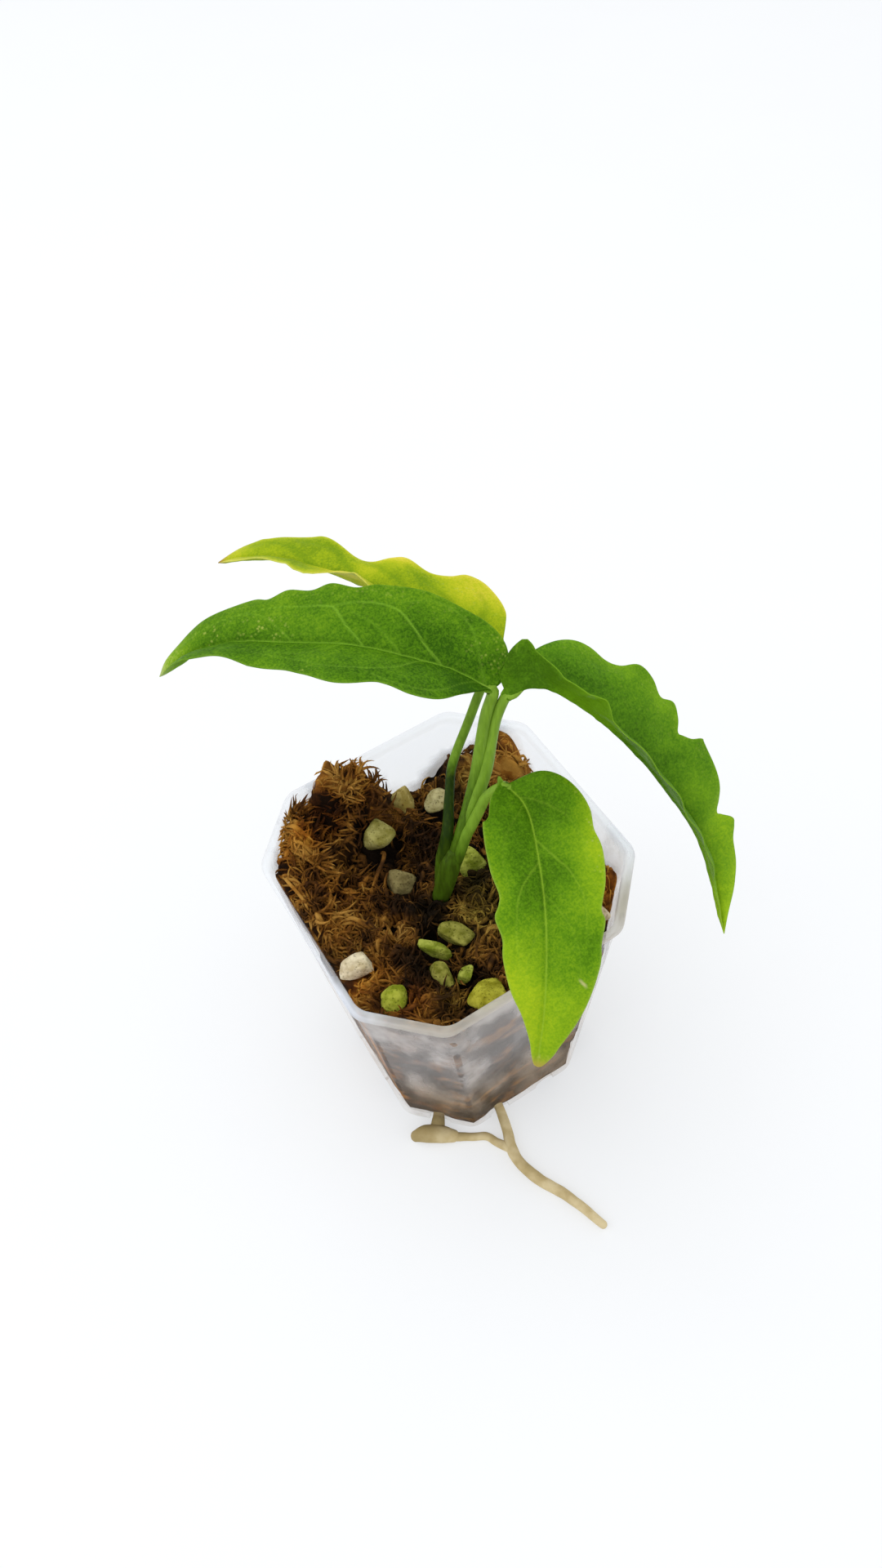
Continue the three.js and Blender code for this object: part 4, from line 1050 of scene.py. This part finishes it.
def tufts(places, seed, each, size, rise, thickness):
    """Tufts of moss: short threads fan out of each place. A thread starts steep in the middle of its tuft and
    leans further out towards its rim. It droops by an equal angle at each step, and thins to a point. Threads
    that come too near to the stem or the wall, and nearly all over stones, are left out."""
    chance = np.random.default_rng(seed)
    spots = np.repeat(places, each, axis=0)
    count = len(spots)
    way = chance.uniform(0, 2 * np.pi, count)
    off = np.sqrt(chance.uniform(0, 1, count))
    x, y = spots.T + 0.55 * size * off * np.array(polar(1, way))
    level = moss_top(x, y)[:, None]
    slope = np.radians(88 - 62 * off + chance.normal(0, 14, count))
    droop = np.radians(chance.uniform(-2, 16, count))
    turn = chance.normal(0, 0.2, count)
    step = np.arange(TUFT_STEPS)
    slopes = slope[:, None] - droop[:, None] * step
    ways = way[:, None] + chance.normal(0, 0.5, count)[:, None] + turn[:, None] * step
    stride = size * chance.uniform(0.6, 1.25, count)[:, None] / (TUFT_STEPS - 1)
    x = x[:, None] + np.cumsum(stride * np.cos(slopes) * np.cos(ways), axis=1)
    y = y[:, None] + np.cumsum(stride * np.cos(slopes) * np.sin(ways), axis=1)
    z = level - 0.5 + np.cumsum(stride * np.sin(slopes) * rise, axis=1)
    held = held_in(x, y, z, WALL + 0.5)
    clear = np.linalg.norm(from_stem(np.stack([x, y, z], -1), STEM_LINE[:, 1:]), axis=-1) > 2.6
    points = np.stack([x * held, y * held, z], -1)
    radius = thickness * chance.uniform(0.6, 1.3, count)[:, None] * (1 - np.linspace(0, 1, TUFT_STEPS)) ** 0.6
    whole = np.repeat(chance.uniform(0, 1, len(places)), each)
    tint = np.clip(whole * 0.75 + chance.uniform(0, 0.25, count), 0, 1)
    kept = off_stones(points, chance) & clear.all(axis=1) & (held > 0.93).all(axis=1)
    return threads(points[kept], radius[kept], 3, tint[kept])


def tuft_places():
    """Where tufts grow: spread over the whole moss, closer together on the high mounds
    and the left edge, and crowded in the back left corner."""
    chance = np.random.default_rng(31)
    angle = chance.uniform(0, 2 * np.pi, 900)
    reach = wall_distance(angle, MOSS_LEVEL, WALL + 2.5) * np.sqrt(chance.uniform(0, 1, 900))
    x, y = polar(reach, angle)
    high = np.clip((moss_height(x, y) - MOSS_LEVEL - 1.5) / 7, 0, 1) + 0.5 * np.clip((-x - 14) / 14, 0, 1)
    kept = chance.uniform(0, 1, 900) < 0.16 + 0.6 * high
    corner = np.array([-23.6, 29.6]) + chance.normal(0, 1, (22, 2)) * (2.6, 1.8)
    return np.concatenate([np.stack([x, y], -1)[kept], corner])


def long_strands():
    """The one long pale strand that arches over the moss on the left, and the shreds. Each shred is four
    tubes side by side that follow the moss at their own distances, pressed flat: a tube's height above its
    own middle line is halved."""
    chance = np.random.default_rng(13)
    parts = [rounded_tube(ARCHED_STRAND, 10, 44, (0, 0, 1), 3, 0.12)]
    for course in SHREDS:
        for side in (-1.5, -0.5, 0.5, 1.5):
            x, y, above, radius = np.array(course, float).T
            x = x + 0.55 * side + chance.normal(0, 0.3, len(x))
            y = y + 0.4 * side + chance.normal(0, 0.3, len(y))
            level = moss_height(x, y)
            level = level + np.maximum(moss_relief(x, y, level), -0.6) + above * chance.uniform(0.5, 1.1)
            line = list(zip(x, y, level, radius * chance.uniform(0.6, 1.0)))
            points, faces = rounded_tube(line, 8, 30, (0, 0, 1), 3, 0.12)
            middle = points.mean(axis=1, keepdims=True)
            parts.append((middle + (points - middle) * (1, 1, 0.5), faces))
    points, faces = joined(parts)
    return points, faces, np.ones(len(points))


def make_strands():
    """Loose strands, thick and brown or thin and orange, the standing tufts, and the few long ones."""
    kinds = [
        ("moss_strands_thick", strands(1500, seed=7, length=6.8, thickness=0.5, sides=4, lift=1.6), 0.0),
        ("moss_strands_thin", strands(1900, seed=19, length=7.5, thickness=0.23, sides=3, lift=2.0), 0.16),
        ("moss_tufts", tufts(tuft_places(), seed=23, each=13, size=4.4, rise=0.8, thickness=0.44), 0.1),
        ("moss_long_strands", long_strands(), 0.16),
    ]
    for name, (points, faces, tint), warmer in kinds:
        piece = make_piece(name, points, faces, moss_marks(points, tint=tint), closed=False)
        settle(piece, moss_fibre(name, warmer), "moss")


def moss_fibre(name, warmer=0.0, ground=False):
    """Damp brown moss: painted shade in its hollows, light and dark places, and brown, rusty and olive
    stretches. The ground's deep mark paints shade into its hollows and its side pockets, and its sides
    grow darker lower down, painted shade inside the pot."""
    look = Finish(name)
    level = look.node("ShaderNodeVectorMath", {0: look.where, 1: (1, 1, 0)}, operation="MULTIPLY")
    outward = look.node("ShaderNodeVectorMath", {0: level.outputs[0]}, operation="LENGTH").outputs["Value"]
    edge = look.spread(outward, 16 * MM, 33 * MM, 0.06, 0.24)
    high = look.spread(look.z, 76 * MM, 87 * MM, 0.0, 0.2)
    patch = look.spread(look.grain(6.5, 2.0), 0.36, 0.66, -0.04, 0.5)
    fine = look.spread(look.grain(1.6, 4.0, 0.65), 0.34, 0.75, 0.0, 0.2)
    value = look.maths("ADD", edge, high, patch, fine, look.mark("light"))
    # Painted shade: the deep mark darkens hollows and side pockets, and the sides darken lower in the pot.
    if ground:
        sides = look.spread(look.z, 60 * MM, 67 * MM, 0.12, 0.02)
        deep = look.maths("MULTIPLY", look.mark("deep"), 0.7)
        value = look.maths("SUBTRACT", value, deep, sides, clamp=True)
    else:
        tint = look.maths("MULTIPLY", look.mark("tint"), 0.26)
        value = look.maths("ADD", value, tint, warmer - 0.1, clamp=True)
    colour = look.shades(value, *MOSS_BROWN)
    for hue, stops in MOSS_HUES.items():
        colour = look.blend(look.mark(hue), colour, look.shades(value, *stops))
    relief = look.bump(look.grain(0.7, 4.0, 0.7), 0.5, 0.8)
    look.coat(colour, 0.85, Normal=relief, Specular_IOR_Level=0.06)
    return look.material


# The pumice


def stone_points(low, high, seed, lean, longer):
    """A broken lump: in each direction the surface is where rounded planes around it meet, worked out as
    a high power mean of the planes' distances, with small noise and pits. It is stretched along one side,
    turned about the upright by its lean, and scaled to its box."""
    chance = np.random.default_rng(seed)
    planes = unit(chance.normal(0, 1, (13, 3)))
    apart = chance.uniform(0.82, 1.0, 13)
    up, around = np.meshgrid(np.linspace(0, np.pi, 33), full_turn(48), indexing="ij")
    way = np.stack([*polar(np.sin(up), around), np.cos(up)], -1)
    facing = np.clip(way @ planes.T, 0, None) / apart
    reach = ((facing**9).sum(-1) + 1e-3) ** (-1 / 9)
    pits = 0.05 * np.clip(noise(way, 0.16, seed + 9) - 0.1, 0, 1)
    reach = reach * (1 + 0.045 * layered(way, 0.5, 3, seed) - pits)
    shape = turned(way * reach[..., None] * (longer, 1, 1), lean)
    lowest, highest = shape.min((0, 1)), shape.max((0, 1))
    return low + (shape - lowest) / (highest - lowest) * (high - low)


def make_pumice():
    """One fine lump in each stone's own box."""
    for i, (name, box, kind) in enumerate(zip(STONES, STONE_BOXES, PUMICE_KINDS)):
        slot_name, shade, light = PUMICE_LOOKS[kind]
        points = stone_points(*box, 40 + i, *PUMICE_LEANS.get(i + 1, (0, 1)))
        faces = grid_faces(points.shape[0], points.shape[1], around=True)
        stone = make_piece(name.replace("_", "_stone_"), points, faces)
        settle(stone, porous_stone(f"pumice_{kind}_{i + 1}", shade, light), slot_name, name)


def porous_stone(name, shade, light):
    """Dull porous stone: cloudy shade and light, with small pores darkened by painted shade."""
    look = Finish(name)
    colour = look.blend(look.spread(look.grain(2.6, 4.0, 0.6), 0.32, 0.68), shade, light)
    # The pores are darkened: painted shade inside them.
    hole = look.spread(look.cells(0.75), 0.12, 0.34, 1.0, 0.0)
    dark = tuple(0.45 * channel for channel in shade)
    colour = look.blend(look.maths("MULTIPLY", hole, 0.55), colour, dark)
    height = look.maths("SUBTRACT", look.grain(0.8, 4.0), look.maths("MULTIPLY", hole, 0.6))
    look.coat(colour, 0.9, Normal=look.bump(height, 0.3, 0.7), Specular_IOR_Level=0.06)
    return look.material


# The leaves


def midrib_frame(leaf, line, along):
    """The midrib's point, with its upward and rightward directions, at a length along it. Upward is
    blended from the base's to the tip's and made square to the midrib."""
    point, ahead = at_length(line, along)
    share = np.clip(along / line["reached"][-1], 0, 1)[..., None]
    base, tip = np.array(leaf["up"], float)
    up = base + (tip - base) * share
    up = unit(up - (up * ahead).sum(-1, keepdims=True) * ahead)
    return point, up, np.cross(ahead, up)


def blade_half(leaf, half, line):
    """One half of a blade. Row by row it runs from the midrib's foot of that row straight out to the margin,
    both as lengths along and across the flat leaf. The rise is an arch of four times share times one
    minus share, plus a wave that grows with the square of the share. The half is folded up from the
    midrib by its angle there."""
    total = line["reached"][-1]
    share = np.linspace(0, 1, BLADE_ROWS + 1)
    outline = [(0, 0, 0), *((a, w, 0) for a, w in half["margin"]), (total, 0, 0)]
    border = measured(outline)
    edge = at_length(border, share * border["reached"][-1])[0]
    foot = total * np.clip((share - leaf["fan"]) / (1 - leaf["fan"]), 0, 1)
    out = np.linspace(0, 1, BLADE_COLUMNS + 1)
    along = foot[:, None] + (edge[:, 0] - foot)[:, None] * out
    width = edge[:, 1:2] * out
    breadth = np.minimum(1, edge[:, 1:2] / FULL_WAVE_WIDTH)
    wave = WAVE_HEIGHT * out**2 * np.sin(2 * np.pi * along / half["wave"])
    rise = (half["arch"] * 4 * out * (1 - out) + wave) * breadth
    places, angles = np.array(half["fold"], float).T
    fold = np.radians(np.interp(along, places, angles))
    point, up, right = midrib_frame(leaf, line, along)
    outward = half["side"] * np.cos(fold)[..., None] * right + np.sin(fold)[..., None] * up
    normal = np.cos(fold)[..., None] * up - half["side"] * np.sin(fold)[..., None] * right
    point = point + width[..., None] * outward + rise[..., None] * normal
    to_edge = edge[:, 1:2] * (1 - out)
    return {"point": point, "normal": normal, "along": along, "width": width, "to_edge": to_edge}


def vein_mark(name, half, along, width, spread_mm):
    """How strongly the side veins show at each place: for each vein a bell of the distance to its nearest
    point, fainter towards its end. The strongest counts."""
    strongest = np.zeros(along.shape)
    for strength, course in VEINS[name][half]:
        dense = spline(np.array([(a, w, 0) for a, w in course], float), np.linspace(0, 1, 60))
        nearest, fade = np.full(along.shape, 1e9), np.zeros(along.shape)
        for i, (a, w, _) in enumerate(dense):
            far = np.hypot(along - a, width - w)
            closer = far < nearest
            nearest, fade = np.where(closer, far, nearest), np.where(closer, 1 - 0.45 * i / 59, fade)
        strongest = np.maximum(strongest, strength * fade * np.exp(-((nearest / spread_mm) ** 2)))
    return strongest


def tone_mark(places, half, along, width):
    """Sum of the bell-shaped places of this half and of both halves."""
    tone = np.zeros(along.shape)
    for where, a, w, spread_a, spread_w, much in places:
        if where in (half, "both"):
            tone += much * np.exp(-(((along - a) / spread_a) ** 2) - ((width - w) / spread_w) ** 2)
    return tone


def beside(halves):
    """Rows of both halves side by side, from the near margin over the midrib to the far margin."""
    return np.concatenate([halves["near"][:, :0:-1], halves["far"]], axis=1)


def make_leaf(name, slot_name, material):
    """A blade as one closed sheet, near margin to midrib to far margin. The upper face sinks in a groove at
    the midrib and at the side veins. The lower face lies one thickness below, thins towards the margin and
    stands out in a round keel under the midrib."""
    leaf = LEAVES[name]
    line = measured(leaf["midrib"])
    total = line["reached"][-1]
    halves = {side: blade_half(leaf, leaf[side], line) for side in ("near", "far")}
    point, normal, along, width, to_edge = (
        beside({side: half[key] for side, half in halves.items()})
        for key in ("point", "normal", "along", "width", "to_edge")
    )
    normal[:, BLADE_COLUMNS] = halves["near"]["normal"][:, 0] + halves["far"]["normal"][:, 0]
    rows, columns = along.shape
    smooth = normal.copy()
    for shift in (1, 2, 3):
        smooth[:, 3:-3] += normal[:, 3 - shift:-3 - shift] + normal[:, 3 + shift:columns - 3 + shift]
    close = np.exp(-((width / 1.2) ** 2))[..., None]
    normal = unit(unit(smooth) * close + unit(normal) * (1 - close))

    def marked(make, what, *more):
        return beside({side: make(what, side, h["along"], h["width"], *more) for side, h in halves.items()})

    vein, dip = marked(vein_mark, name, VEIN_WIDTHS[name]), marked(vein_mark, name, 0.7)
    tone, fleck = marked(tone_mark, TONES[name]), marked(tone_mark, FLECKS[name])
    tone = tone + RIMS[name] * np.exp(-((to_edge / 1.0) ** 2))
    side = np.sign(np.arange(-BLADE_COLUMNS, BLADE_COLUMNS + 1)) * np.ones(along.shape)
    body = np.clip(1 - along / total, 0, 1)
    ends = np.clip(np.minimum(along, total - along) / 3, 0, 1)
    groove = GROOVE_DEPTHS[name] * np.exp(-((width / 0.42) ** 2)) * ends
    inside = np.clip(to_edge / 1.5, 0, 1)
    puckers = 0.14 * layered(np.stack([along, width * side, 0 * along], -1), 4.5, 3, 8) * inside
    thick = MARGIN_THICKNESS + (BLADE_THICKNESS - MARGIN_THICKNESS) * np.clip(to_edge / 2.2, 0, 1)
    keel = (0.3 + 0.5 * body) * np.exp(-((width / (0.35 + 0.3 * body)) ** 2))
    keel = keel * np.clip((total - along) / 6, 0, 1)
    top = point + normal * (puckers - groove - 0.16 * dip * inside - 0.03)[..., None]
    bottom = point + normal * (puckers - thick - keel - 0.14 * dip * inside)[..., None]
    # The pale underside fades out towards the base, keeping the base dark: painted shade there.
    under = np.clip((along - 8) / 8, 0.15, 1)
    scar, none = np.zeros(along.shape), np.zeros(along.shape)
    if name == "right":
        under = 0.25 + 0.75 * np.exp(-(((along - 18) / 8) ** 4))
    if name == "front":
        off = np.stack([along - SCAR[0], width * side - SCAR[1]], -1) @ SCAR_TURN
        scar = np.exp(-((off[..., 0] / 0.85) ** 4) - (off[..., 1] / 0.26) ** 4)
    count = rows * columns
    faces = grid_faces(rows, columns)
    left = np.arange(rows - 1)[:, None] * columns + (0, columns, columns + count, count)
    right = left[:, ::-1] + columns - 1
    midrib = np.exp(-((width / 0.17) ** 2)) * np.clip(along / 2, 0.4, 1)
    # Painted shadow beside the midrib, stronger on one side, and beside the side veins where their grooves
    # dip.
    groove_shadow = np.exp(-(((width - 0.6) / 0.4) ** 2)) * np.where(side < 0, 0.9, 0.4)
    groove_shadow = groove_shadow + 0.8 * np.clip(dip - 1.3 * vein, 0, 1)
    edge, tip = np.exp(-((to_edge / 0.22) ** 2)), np.exp(-(((total - along) / 1.6) ** 2))
    marks = {
        "vein": (vein, vein), "midrib": (midrib, midrib), "groove_shadow": (groove_shadow, groove_shadow), "tone": (tone, tone),
        "fleck": (fleck, none), "edge": (edge, edge), "under": (none, under), "tip": (tip, tip),
        "scar": (scar, none),
    }
    every = np.concatenate([faces, faces[:, ::-1] + count, left, right])
    piece = make_piece(f"leaf_blade_{name}", np.stack([top, bottom]), every, marks, sharp=60)
    return settle(piece, material, slot_name, f"leaf_{name}")


def leaf_finish(name, greens, vein_colour, veins, midrib, edge, tip, under, glow):
    """Leaf surface: greens along the tone, cloudy and finely mottled, veins in the grooves with a band of
    painted shadow beside them and beside the midrib, a thin pale edge, pale flecks where they are marked, a
    duller underside, and light coming through from behind."""
    look = Finish(name)
    cloud = look.spread(look.grain(7), 0.3, 0.7, -0.09, 0.09)
    mottle = look.spread(look.grain(0.9, 3.0, 0.65), 0.32, 0.68, -0.06, 0.06)
    stipple = look.spread(look.grain(0.4, 1.0), 0.35, 0.65, -0.08, 0.08)
    # Painted shadow beside the midrib and the veins darkens the tone.
    dark = look.maths("MULTIPLY", look.mark("groove_shadow"), -0.08)
    tone = look.maths("ADD", look.mark("tone"), cloud, mottle, stipple, dark, 0.2, clamp=True)
    colour = look.shades(tone, (0, 0.25, 0.6, 1), greens)
    chosen = look.spread(look.grain(1.6, 1.0), 0.42, 0.56)
    fleck = look.maths("MULTIPLY", look.spread(look.cells(0.85), 0.14, 0.42, 1.0, 0.0), chosen)
    flecked = look.maths("MULTIPLY", fleck, look.maths("ADD", look.mark("fleck"), 0.05), clamp=True)
    colour = look.blend(look.maths("MULTIPLY", flecked, 0.75), colour, (0.46, 0.54, 0.1))
    for mark, strength, tint in (
        ("vein", veins, vein_colour), ("midrib", midrib, vein_colour), ("under", 0.4, under),
        ("edge", 0.45, edge), ("tip", 0.8, tip), ("scar", 0.75, (0.62, 0.56, 0.26)),
    ):
        colour = look.blend(look.maths("MULTIPLY", look.mark(mark), strength), colour, tint)
    net = look.cells(0.8, feature="DISTANCE_TO_EDGE")
    height = look.maths("ADD", look.grain(0.35, 2.0), look.spread(net, 0.0, 0.12, -0.4, 0.0))
    relief = look.bump(height, 0.05, 0.5)
    rough = look.spread(look.grain(2.2), 0.3, 0.7, 0.4, 0.55)
    coat = look.coat(colour, rough, Normal=relief, Specular_IOR_Level=0.04)
    look.let_through(coat, 0.22, look.blend(0.5, colour, glow), relief)
    return look.material


def make_leaves():
    """The four blades, from the dark lower ones to the yellow-green one at the back."""
    for name, (slot_name, *look) in LEAF_LOOKS.items():
        make_leaf(name, slot_name, leaf_finish(*look))


# Stem, stalks and roots


def make_stem():
    """The stem and four leaf stalks as tubes with round ends. Each stalk runs on a little way under its
    blade's midrib, where it thins out into the keel. A stalk's section is a circle with a shallow groove."""
    parts = [rounded_tube(STEM, 28, 60, (0, 1, 0), 3, 0.05)]
    shade = [np.full(parts[0][0].size // 3, STEM_SHADE)]
    for name, course in STALKS.items():
        line = measured(LEAVES[name]["midrib"])
        under = []
        for along, sink, radius in ((1.2, 0.75, 0.75), (4.0, 0.7, 0.42)):
            point, up, _ = midrib_frame(LEAVES[name], line, np.array([along]))
            under.append((*(point[0] - up[0] * sink), radius))
        parts.append(rounded_tube([*course, *under], 20, 130, (0, 1, 0), 2, 0.06))
        # The stalks' lower parts are darker: painted shadow of the blades above, carried to the finish in the
        # rise mark.
        low, high, dark, light = STALK_PAINTED_SHADOWS[name]
        height = parts[-1][0].reshape(-1, 3)[:, 2]
        own = dark + (light - dark) * np.clip((height - low) / (high - low), 0, 1)
        shade.append(STEM_SHADE + (own - STEM_SHADE) * np.clip((height - 84) / 8, 0, 1))
    points, faces = joined(parts)
    points = points + 0.06 * layered(points, 2.4, 2, 4)[:, None] * np.array([1, 1, 0.2])
    piece = make_piece("stem_and_stalks", points, faces, {"rise": np.concatenate(shade)})
    return settle(piece, stalk_finish(), "stalk", "stem_with_stalks")


def stalk_finish():
    """Fleshy green stalk: darker and browner low down, where the shadow of the blades is painted in, light
    above, with fine lengthwise streaks.
    """
    look = Finish("stalk_green")
    streak = look.grain(0.7, where=look.stretched(1, 1, 0.12))
    # rise holds how light the stalk is, with the painted shadow low down.
    rise = look.maths("ADD", look.mark("rise"), look.spread(streak, 0.3, 0.7, -0.1, 0.12), clamp=True)
    colour = look.shades(rise, (0, 0.22, 0.5, 1), [
        (0.017, 0.04, 0.003), (0.05, 0.09, 0.005), (0.1, 0.2, 0.01), (0.24, 0.42, 0.035),
    ])
    relief = look.bump(streak, 0.08, 0.6)
    rough = look.spread(look.grain(2), 0.3, 0.7, 0.34, 0.5)
    coat = look.coat(colour, rough, Normal=relief, Specular_IOR_Level=0.1)
    look.let_through(coat, 0.12, (0.3, 0.5, 0.06), relief)
    return look.material


def make_roots():
    """Two roots out of the drain slots, the swollen knot on one and the thin link between them, as tubes
    with round ends and slow swellings."""
    points, faces = joined([
        rounded_tube(ROOT_TO_FLAT, 20, 220, (0.1, 0, 1), 2, 0.04),
        rounded_tube(ROOT_TO_CORNER, 20, 120, (0.1, 0, 1), 2, 0.04),
        rounded_tube(ROOT_KNOT, 24, 60, (0, 0, 1), 3, 0.05),
        rounded_tube(ROOT_LINK, 18, 80, (0, 0, 1), 2, 0.04),
    ])
    swell = 0.12 * layered(points, 3.0, 2, 14)
    points = points + swell[:, None] * np.array([0.8, 0.8, 0.0]) + np.array([0, 0, 0.02])
    return settle(make_piece("roots_bare", points, faces), root_finish(), "root", "roots")


def root_finish():
    """Tan root skin with olive patches and fine wrinkles across it."""
    look = Finish("root_tan")
    patch = look.spread(look.grain(6), 0.32, 0.68)
    colour = look.shades(patch, (0, 0.5, 1), [(0.44, 0.34, 0.16), (0.53, 0.42, 0.22), (0.64, 0.53, 0.31)])
    inner = look.spread(look.y, -30 * MM, -22 * MM, 0.0, 0.55)
    colour = look.blend(inner, colour, (0.2, 0.145, 0.05))
    wrinkle = look.grain(0.6, 4.0, 0.6, look.stretched(0.6, 1, 1))
    look.coat(colour, 0.7, Normal=look.bump(wrinkle, 0.15, 0.7), Specular_IOR_Level=0.1)
    return look.material


# Floor, light and camera


def put(name, data, right, up, back, spot):
    """A lamp or camera with its axes along three directions, at a spot in metres."""
    thing = in_scene(name, data)
    axes = np.eye(4)
    axes[:3] = np.column_stack([right, up, back, spot])
    thing.matrix_world = Matrix(axes.tolist())
    return thing


def make_stage():
    """A wide white floor just under the pot that glows a little, as in an overexposed picture, a pale sky all
    round and two soft lamps."""
    mesh = bpy.data.meshes.new("floor")
    corners = [(x * GROUND_HALF, y * GROUND_HALF, GROUND_Z) for x, y in ((-1, -1), (1, -1), (1, 1), (-1, 1))]
    mesh.from_pydata(corners, [], [(0, 1, 2, 3)])
    floor = in_scene("floor", mesh)
    look = Finish("white_floor")
    colour = look.blend(look.grain(90), (0.42, 0.425, 0.43), (0.4, 0.405, 0.41))
    look.coat(colour, 0.85, Specular_IOR_Level=0.1, Emission_Color=(0.965, 0.98, 1.0), Emission_Strength=0.51)
    mesh.materials.append(look.material)
    world = bpy.data.worlds.new("pale_sky")
    bpy.context.scene.world = world
    world.use_nodes = True
    sky = world.node_tree.nodes["Background"]
    sky.inputs["Color"].default_value = (0.97, 0.985, 1.0, 1)
    sky.inputs["Strength"].default_value = 0.95
    for name, spot, aim, width, power in (
        ("window", (-0.25, 0.22, 0.85), (0.0, 0.0, 0.1), 1.2, 4.0),
        ("fill", (0.35, -0.45, 0.5), (0.0, 0.0, 0.06), 0.8, 0.5),
    ):
        lamp = bpy.data.lights.new(name, "AREA")
        lamp.size, lamp.energy = width, power
        back = unit(np.array(spot) - np.array(aim))
        right = unit(np.cross((0.0, 0.0, 1.0), back))
        put(name, lamp, right, np.cross(back, right), back, spot)
    bpy.context.scene.view_settings.view_transform = "Standard"


def make_camera():
    """The photograph's view: from back along the view line, with the picture turned a little."""
    up_angle, around = np.radians(CAMERA_ELEVATION), np.radians(CAMERA_AZIMUTH)
    back = np.array([np.sin(around) * np.cos(up_angle), -np.cos(around) * np.cos(up_angle), np.sin(up_angle)])
    right = unit(np.cross(-back, (0.0, 0.0, 1.0)))
    up = np.cross(right, -back)
    roll = np.radians(CAMERA_ROLL)
    right, up = np.cos(roll) * right + np.sin(roll) * up, np.cos(roll) * up - np.sin(roll) * right
    spot = np.array([0, 0, POT_HEIGHT]) + back * CAMERA_DISTANCE + right * CAMERA_RIGHT + up * CAMERA_UP
    data = bpy.data.cameras.new("camera")
    data.lens, data.sensor_width, data.sensor_fit = CAMERA_LENS, CAMERA_SENSOR, "AUTO"
    data.clip_start, data.clip_end = 0.01, 20
    bpy.context.scene.camera = put("camera", data, right, up, back, spot * MM)


make_camera()
make_stage()
make_pot()
make_moss()
make_strands()
make_pumice()
make_leaves()
make_stem()
make_roots()
